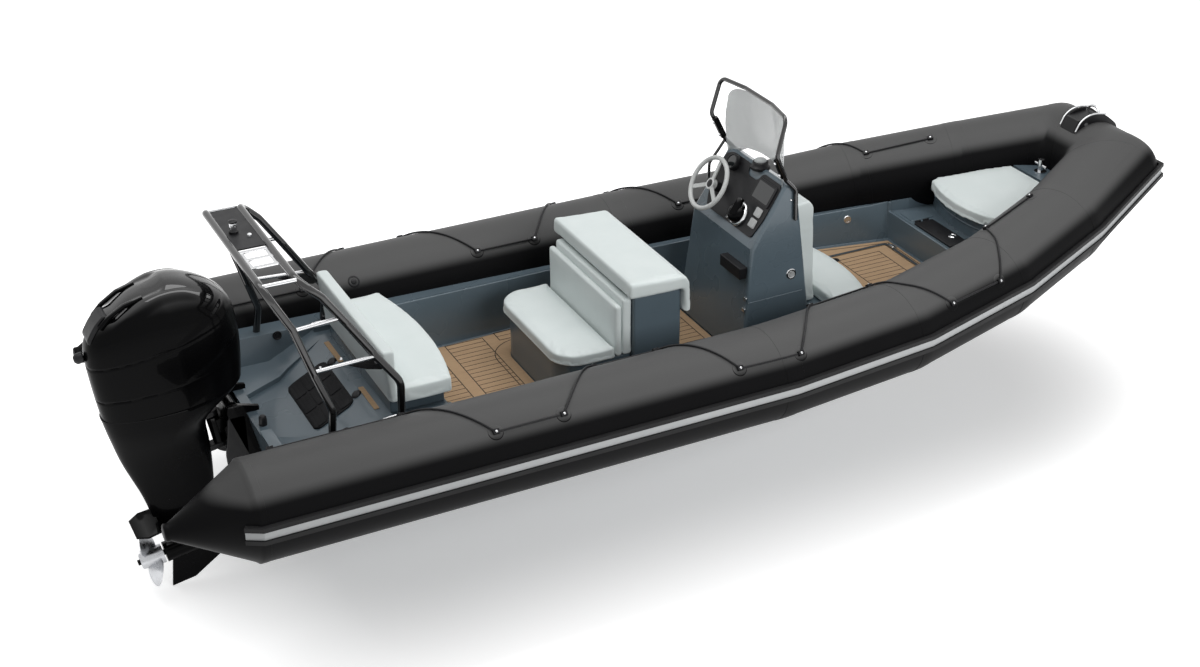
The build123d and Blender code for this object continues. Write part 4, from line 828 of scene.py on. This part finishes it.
def dashboard():
    """The screen in its bezel, two rocker plates, the gauge, the throttle and the key switch, on the dash's
    slope."""
    outline = filleted([(-306, 148), (-240, 180), (-45, 180), (-20, 115), (85, 115), (112, 172), (300, 172),
                        (316, 150),
                        (316, -60), (290, -185), (-230, -185), (-306, -60)], 26)
    panel = plate(outline, -DASH_FACE, 0, on_dash(0, 0), (0, -1, 0), DASH_UP)
    piece("dash_skin", [panel], ABS, stands_for=["dash_panel"], ease=2)
    bezel = [dash_plate(196, 136, 14, (205, 80), 0, 8)]
    gauge = dial([(50, 0), (50, 30), (47, 35), (42, 36), (40, 33), (39, 30), (0, 30)], (-178, 126))
    piece("bezels", bezel + [gauge], ABS, stands_for=["dash_instruments"], ease=2)
    piece("screen_glass", [dash_plate(164, 106, 5, (205, 80), 7.5, 8.8),
                           dial([(39, 29), (39, 31), (0, 32)], (-178, 126))], GLASS)
    piece("switch_plates", [dash_plate(*size, (247, up), *run) for size, run in (((62, 54, 8), (0, 7)),
                                                                                ((50, 42, 6), (6, 10)))
                            for up in (-34, -104)], SWITCH, ease=1.2)
    ring_form = dial([(58, 0), (74, 0), (77, 6), (77, 14), (73, 20), (66, 23), (60, 20), (58, 14)],
                     (98, -106))
    stud = dial([(0, 10), (9, 10), (12, 7), (13, 0)], (8, -160), 24)
    piece("throttle_ring", [ring_form, stud], STAINLESS)
    dome = dial([(60, 0), (60, 22), (58, 40), (50, 54), (34, 64), (16, 67.5), (0, 68)], (98, -106))
    arm = plate(filleted([(-26, -20), (26, -20), (20, 92), (-20, 92)], 16), 48, 74, on_dash(98, -106),
                (0.3, -0.95, 0),
                DASH_UP)
    piece("throttle_body", [dome, arm], LACQUER, "black_plastic", stands_for=["throttle"], ease=5)


def binnacle():
    """The compass: a flanged bowl under a clear dome, with its card inside, turned about an upright axis."""
    centre = (3232, -28, 1112)
    bowl = [(58, -62), (60, -50), (60, -44), (52, -36), (48, -30), (47, -18), (40, -14), (34, -13), (0, -13)]
    piece("compass_bowl", [turned(bowl, centre, UP, 64)], ABS, stands_for=["compass"])
    card = [(32, -13), (31, -7), (12, -4), (0, -4)]
    piece("compass_card", [turned(card, centre, UP, 48)], SWITCH)
    dome = [(38, -14), (37, -8), (31, -1), (20, 4), (8, 6), (0, 6.4)]
    piece("compass_dome", [turned(dome, centre, UP, 48)], ACRYLIC)


def console_trim():
    """The drain grille, the screw heads, two latches and the crease over the plinth."""
    out = unit([0, -1, 0.066])
    drain = turned([(22, -3), (22, 3), (23, 6), (30, 6), (34, 3), (35, -3)], (3265, -366, 496), out, 40)
    piece("drain_disc", [turned([(0, 3.2), (22.5, 3.2), (22.5, -3)], (3265, -366, 496), out, 40)], SWITCH)
    screws = [turned([(0, 6), (5, 5), (8, 2), (9, -4)], spot, out, 16)
              for spot in ((3262, -336, 962), (3290, -345, 835))]
    latches = [plate(oblong(30, 22, 6), 0, 9, spot, (0, -1, 0), (0.097, 0, 0.995))
               for spot in ((2969, -352, 392), (2962, -349, 322))]
    piece("console_fittings", [drain, *screws, *latches], STAINLESS, ease=1)
    # Painted shade: black discs on the grille stand for the dark inside the drain's holes.
    hole_shades = [turned([(0, 0), (2.4, 0), (2.4, 0.8), (0, 0.8)], (3265 + 13 * a, -366 - 3.4, 496 + 13 * b), out,
                    8)
             for a in (-1, -0.33, 0.33, 1) for b in (-1, -0.33, 0.33, 1)]
    piece("drain_hole_shades", hole_shades, ABS)
    for name, side in (("crease_starboard", -1), ("crease_port", 1)):
        piece(name, [pipe([(2972, side * 376, 372), (3340, side * 376.5, 378)], 3.5, UP, 10)], GELCOAT)


def screen():
    """The windscreen: rows up its height, each a thin closed loop bent in plan on the arc x = 3300 - 100 (y /
    335)^2. Its half width follows an outline with round upper corners, and its foot dips towards each
    side."""
    corner = np.linspace(0, np.pi / 2, 9)
    outline = np.array([(1100, 306), (1150, 322), (1215, 333), (1300, 331), (1372, 322)])
    arc = np.column_stack([1378 + 72 * np.sin(corner), 250 + 72 * np.cos(corner)])
    outline = np.concatenate([outline, arc])
    t = np.linspace(-1, 1, 41)
    y = outline[:, 1:] * t
    foot = np.clip((1215 - outline[:, :1]) / 115, 0, 1)
    z = outline[:, :1] - 88 * foot * np.abs(t) ** 5
    x = 3300 - 100 * (y / 335) ** 2
    front = np.stack([x, y, z], axis=-1)
    back = np.stack([x - 6, y, z], axis=-1)[:, ::-1]
    sheet = grid(np.concatenate([front, back], axis=1))
    piece("screen_sheet", [sheet], ACRYLIC, stands_for=["windscreen"], sharp=60)
    plates, bolts = [], []
    for side in (1, -1):
        spot = np.array([3166.0, side * 352, 1187])
        along = unit([-0.42, 0.08 * side, 0.9])
        plates.append(plate(oblong(34, 148, 15), -17, 17, spot, (0, side, 0), along))
        bolts += [turned([(0, 8), (5, 7), (8, 3), (8, -3)], spot + along * step + np.array([-19.0, 0, -6]),
                         (-0.9, 0, -0.42), 16) for step in (-46, 46)]
    piece("screen_brackets", plates, LACQUER, "black_plastic", stands_for=["windscreen_clamps"], ease=5)
    piece("screen_bolts", bolts, STAINLESS)


def wheel_cap():
    """The cap in its ring at the steering wheel's middle, on the hub's face."""
    spot = on_dash(-200, -50, HUB_FACE)
    for name, profile, finish in (("wheel_cap", [(0, 6), (14, 5.4), (22, 3), (25, 0), (25, -4)], ABS),
                                  ("wheel_cap_ring", [(25, -3), (25.5, 1.5), (28.5, 1.5), (29, -3)],
                                   STAINLESS)):
        piece(name, [turned(profile, spot, DASH_OUT, 40)], finish, body="steering_wheel")


# ------------ roll bar and fittings


def roll_bar_trim():
    """The lantern, the small lamp, the slotted steel frame between the hoops and the cleats at their feet."""
    spot = (112, 163, 1216)
    base = turned([(26, 0), (26, 12), (22, 15), (0, 15)], spot, UP, 40)
    cap = turned([(22, 58), (24, 62), (24, 68), (16, 73), (0, 74)], spot, UP, 40)
    piece("lantern_body", [base, cap], ABS, stands_for=["lantern"])
    lens = turned([(20, 14), (21, 20), (21, 54), (20, 60), (0, 60)], spot, UP, 40)
    piece("lantern_lens", [lens], STAINLESS, "screen_tint")
    lamp = turned([(0, 16), (8, 15), (13, 10), (15, 0)], (176, 88, 1216), UP, 24)
    bars = [plate(oblong(176, 26, 4, (144, y)), 1204, 1212) for y in (-78, -178, -278)]
    rails = [plate(oblong(16, 214, 4, (x, -178)), 1205, 1211) for x in (80, 208)]
    piece("bar_frame", [lamp, *bars, *rails], STAINLESS, ease=1.5)
    feet, cleats = [], []
    for x, y in ((298, 672), (700, 646)):
        feet += both(turned([(22, 0), (24, 8), (34, 12), (36, 16), (34, 18), (22, 20)], (x, y, 282), UP, 32))
    for side in (-1, 1):
        horn = pipe([(612, side * 598, 338), (650, side * 598, 342), (720, side * 598, 342),
                     (764, side * 598, 336)],
                    8, UP, 14)
        posts = [turned([(16, -26), (12, -22), (9, -12), (9, 6)], (x, side * 598, 334), UP, 20)
                 for x in (660, 712)]
        cleats += [horn, *posts]
    piece("hoop_feet", feet, COATED)
    piece("deck_cleats", cleats, STAINLESS)
    studs = [turned([(0, 6), (6, 5), (8, 0), (8, -4)], spot, UP, 16)
             for spot in ((430, -531, 718), (300, -580, 722))]
    eye = turned([(0, 1.5), (9, 1.5), (10, 0), (10, -1)], (610, -562, 668), (0, -1, 0), 20)
    piece("gusset_studs", [*studs, eye], STAINLESS)


def aft_deck():
    """Pad tiles on the slope before the motor, teak strips, caps, stops and vents."""
    up = unit([283.0, 0, 150.0])
    tiles = [plate(oblong(156, 74, 12, (u, v)), 7, 11.5, (335, 0, 150), (0, -1, 0), up)
             for u in (-170, 0, 170) for v in (50, 134, 218)]
    piece("pad_tiles", tiles, GRIP, ease=2)
    piece("teak_strips", [plate(oblong(30, 260, 6, (640, y)), 299, 304) for y in (-290, 290)], TEAK)
    trim = []
    for side in (-1, 1):
        trim += [turned([(0, 8), (20, 8), (26, 5), (30, -2)], (598, side * 205, 292), (-0.47, 0, 0.88), 32),
                 turned([(0, 26), (14, 25), (20, 18), (22, 0), (22, -30)], (44, side * 300, 330), UP, 24),
                 turned([(0, -1), (17, -1), (20, 3), (25, 3), (27, -3)], (405, side * 592, 318),
                        (0, -side, 0.25), 32)]
    piece("deck_caps", trim, ABS)


def bow_trim():
    """Lid latch and hinges, the panel beside the lid, the ridge round the step's wall, lamps and the
    fairlead."""
    latch = turned([(0, 5), (14, 5), (16, 3), (20, 3), (23, 5), (27, 3), (28, -2)], (4647, -82, 326), UP, 40)
    piece("lid_latch", [latch, plate(oblong(34, 8, 3, (4647, -82)), 330, 334)], STAINLESS, body="bow_lid")
    hinges = [plate(oblong(34, 26, 6, (x, 216)), 311, 320) for x in (4590, 4652)]
    knuckles = [turned([(0, -16), (6, -16), (7, -13), (7, 13), (6, 16), (0, 16)], (x, 206, 324), (1, 0, 0),
                       16)
                for x in (4590, 4652)]
    piece("lid_hinges", hinges + knuckles, ABS, ease=1.5)
    panel = plate(filleted([(4566, 388), (4738, 336), (4732, 240), (4560, 240)], 16), 310, 317)
    piece("step_panel", [panel], GELCOAT, ease=3)
    t = np.linspace(-1, 1, 25)
    ridge = pipe(np.column_stack([4752 + 98 * t ** 2 - 5, 398 * t, np.full(25, 392)]), 9, UP, 12)
    piece("step_ridge", [ridge], GELCOAT)
    out = unit([-0.18, -0.98, 0.11])
    lamp = turned([(0, 3), (17, 3), (18, 6), (24, 6), (27, 3), (28, -4)], (4241, 507, 285), out, 40)
    piece("wall_lamps", both(lamp), STAINLESS)
    side = rounded([(5528, 760), (5560, 880), (5610, 950), (5755, 968), (5850, 900), (5905, 850),
                    (5890, 764)])
    cheeks = [lengthwise(side, y, 7) for y in (-66, 66)]
    over = np.linspace(0, np.pi, 17)
    arch = pipe(np.column_stack([5745 + 12 * np.sin(over), 58 * np.cos(over), 940 + 44 * np.sin(over)]), 9,
                (1, 0, 0), 12)
    brows = [pipe(rounded([(5556, y, 868), (5592, y, 940), (5680, y, 972), (5790, y, 952)]), 6, (0, 1, 0), 12)
             for y in (-76, 76)]
    pins = [turned([(0, -76), (13, -76), (15, -72), (15, 72), (13, 76), (0, 76)], spot, (0, 1, 0), 24)
            for spot in ((5640, 0, 900), (5862, 0, 840))]
    piece("fairlead_cheeks", cheeks, ABS, ease=4)
    piece("fairlead", [arch, *brows, *pins], STAINLESS)
    drum = [(0, -46), (30, -46), (34, -40), (26, -12), (24, 0), (26, 12), (34, 40), (30, 46), (0, 46)]
    piece("anchor_wheel", [turned(drum, (5892, 0, 812), (0, 1, 0), 40)], ABS)


# ------------ studio

FLOOR_HALF = 40.0
FLOOR_GAP = 0.004
AMBIENT = 0.24
# The floor glows white beyond GLOW_TO metres from the keel's line and at AMBIENT within GLOW_FROM: a painted
# shade round the boat.
GLOW_FROM, GLOW_TO = 0.5, 2.4
KEEL_AFT, KEEL_FORE = 0.9, 4.6


def looked_at(tree):
    """1 on the rays that see the background: the camera's, and those that a gloss or a clear sheet sends
    on."""
    rays = add(tree, "LightPath", {}).node.outputs
    mirrored = add(tree, "Math", {0: rays["Is Camera Ray"], 1: rays["Is Glossy Ray"]}, operation="MAXIMUM")
    return add(tree, "Math", {0: mirrored, 1: rays["Is Transmission Ray"]}, operation="MAXIMUM")


def studio_floor():
    """A flat floor that keeps the boat's soft shadow: it glows white to the camera away from the keel's line,
    and less towards it, a painted shade round the boat on top of its cast shadow."""
    drop = CAD_BOX[0][2] - FLOOR_GAP
    mesh = bpy.data.meshes.new("floor")
    mesh.from_pydata([(FLOOR_HALF * x, FLOOR_HALF * y, drop) for x, y in ((-1, -1), (1, -1), (1, 1),
                                                                          (-1, 1))], [],
                     [(0, 1, 2, 3)])
    made, tree, shader = paint("white_studio_paper", Specular_IOR_Level=0.0)
    place, _, _ = mottle(tree, shader, "#f2f2f2", "#f6f6f6", 2.0, (0.85, 0.95), 0.01, 0.0)
    shader.inputs["Emission Color"].default_value = (1, 1, 1, 1)
    spot = add(tree, "SeparateXYZ", {0: place}).node.outputs
    keel = add(tree, "Clamp", {"Value": spot[0], "Min": KEEL_AFT, "Max": KEEL_FORE})
    under = add(tree, "CombineXYZ", {0: keel, 2: spot[2]})
    away = add(tree, "VectorMath", {0: place, 1: under}, "Value", operation="DISTANCE")
    # Painted shade: the glow falls towards the keel's line, so the floor darkens round the boat apart from its
    # cast shadow.
    level = ranged(tree, away, GLOW_FROM, GLOW_TO, AMBIENT, 1.0, interpolation_type="SMOOTHSTEP")
    feed(shader, "Emission Strength", add(tree, "Math", {0: looked_at(tree), 1: level}, operation="MULTIPLY"))
    mesh.materials.append(made)
    linked("floor", mesh)


def soft_box(name, place, target, size, power, mirrored=True):
    """A large soft lamp at a place, turned to a target."""
    data = bpy.data.lights.new(name, "AREA")
    data.shape, data.size, data.size_y, data.energy = "RECTANGLE", *size, power
    lamp = linked(name, data)
    lamp.location = place
    lamp.visible_glossy = mirrored
    lamp.rotation_euler = (Vector(target) - Vector(place)).to_track_quat("-Z", "Y").to_euler()


def studio():
    """A white surround, the floor and three soft lamps."""
    world = bpy.data.worlds.new("studio")
    bpy.context.scene.world = world
    world.use_nodes = True
    tree = world.node_tree
    ground = tree.nodes["Background"]
    ground.inputs["Color"].default_value = (1, 1, 1, 1)
    feed(ground, "Strength", ranged(tree, looked_at(tree), 0.0, 1.0, AMBIENT, 1.0))
    studio_floor()
    soft_box("overhead", (2.6, 0.6, 5.6), (2.6, 0, 0), (10.0, 2.8), 240)
    soft_box("port", (-0.6, 5.2, 4.0), (-0.4, 0, 1.1), (4.5, 3.0), 60, mirrored=False)
    soft_box("starboard", (4.4, -7.4, 3.6), (2.6, 0, 0.4), (6.0, 3.4), 370, mirrored=False)
    bpy.context.scene.view_settings.view_transform = "Standard"


def camera():
    """The viewpoint: its place, and its right, up and backward directions as the columns of its turn."""
    right = (0.89673025, -0.4425457, -0.00530689)
    up = (0.21452161, 0.42413447, 0.87982409)
    back = (-0.38711153, -0.79010332, 0.47526983)
    data = bpy.data.cameras.new("camera")
    data.sensor_width, data.lens, data.clip_end = 36.0, 55.27, 200.0
    eye = linked("camera", data)
    turn = Matrix([right, up, back]).transposed().to_4x4()
    eye.matrix_world = Matrix.Translation((-2.0363, -8.6174, 5.3666)) @ turn
    bpy.context.scene.camera = eye


collar()
for node, width in (("hull", 5), ("liner", 6), ("jockey_base", 10), ("helm_box", 14), ("bench_base", 8),
                    ("front_seat_base", 8), ("console", 20), ("bow_lid", 4), ("deck_hatch", 3),
                    ("switch_box", 5),
                    ("strakes", 4), ("stripes", 1.5), ("steering_wheel", 4), ("bow_roller", 12),
                    ("gussets", 2), ("splash_pad", 3), ("eyelets", 6), ("teak_aft", 1), ("teak_forward", 1)):
    # Joining the liner's flat faces would leave its rounded edges a stray face on the bow step's wall.
    dressed(node, width, joined=node != "liner")
dressed("bar_plate", 2, finish=ABS)
dressed("engine_block", 90)
for node, rules in CUSHIONS.items():
    stuffed(node, *rules)
for build in (motor, decks, tube_patches, dashboard, binnacle, console_trim, screen, wheel_cap, roll_bar_trim,
              aft_deck, bow_trim, studio, camera):
    build()
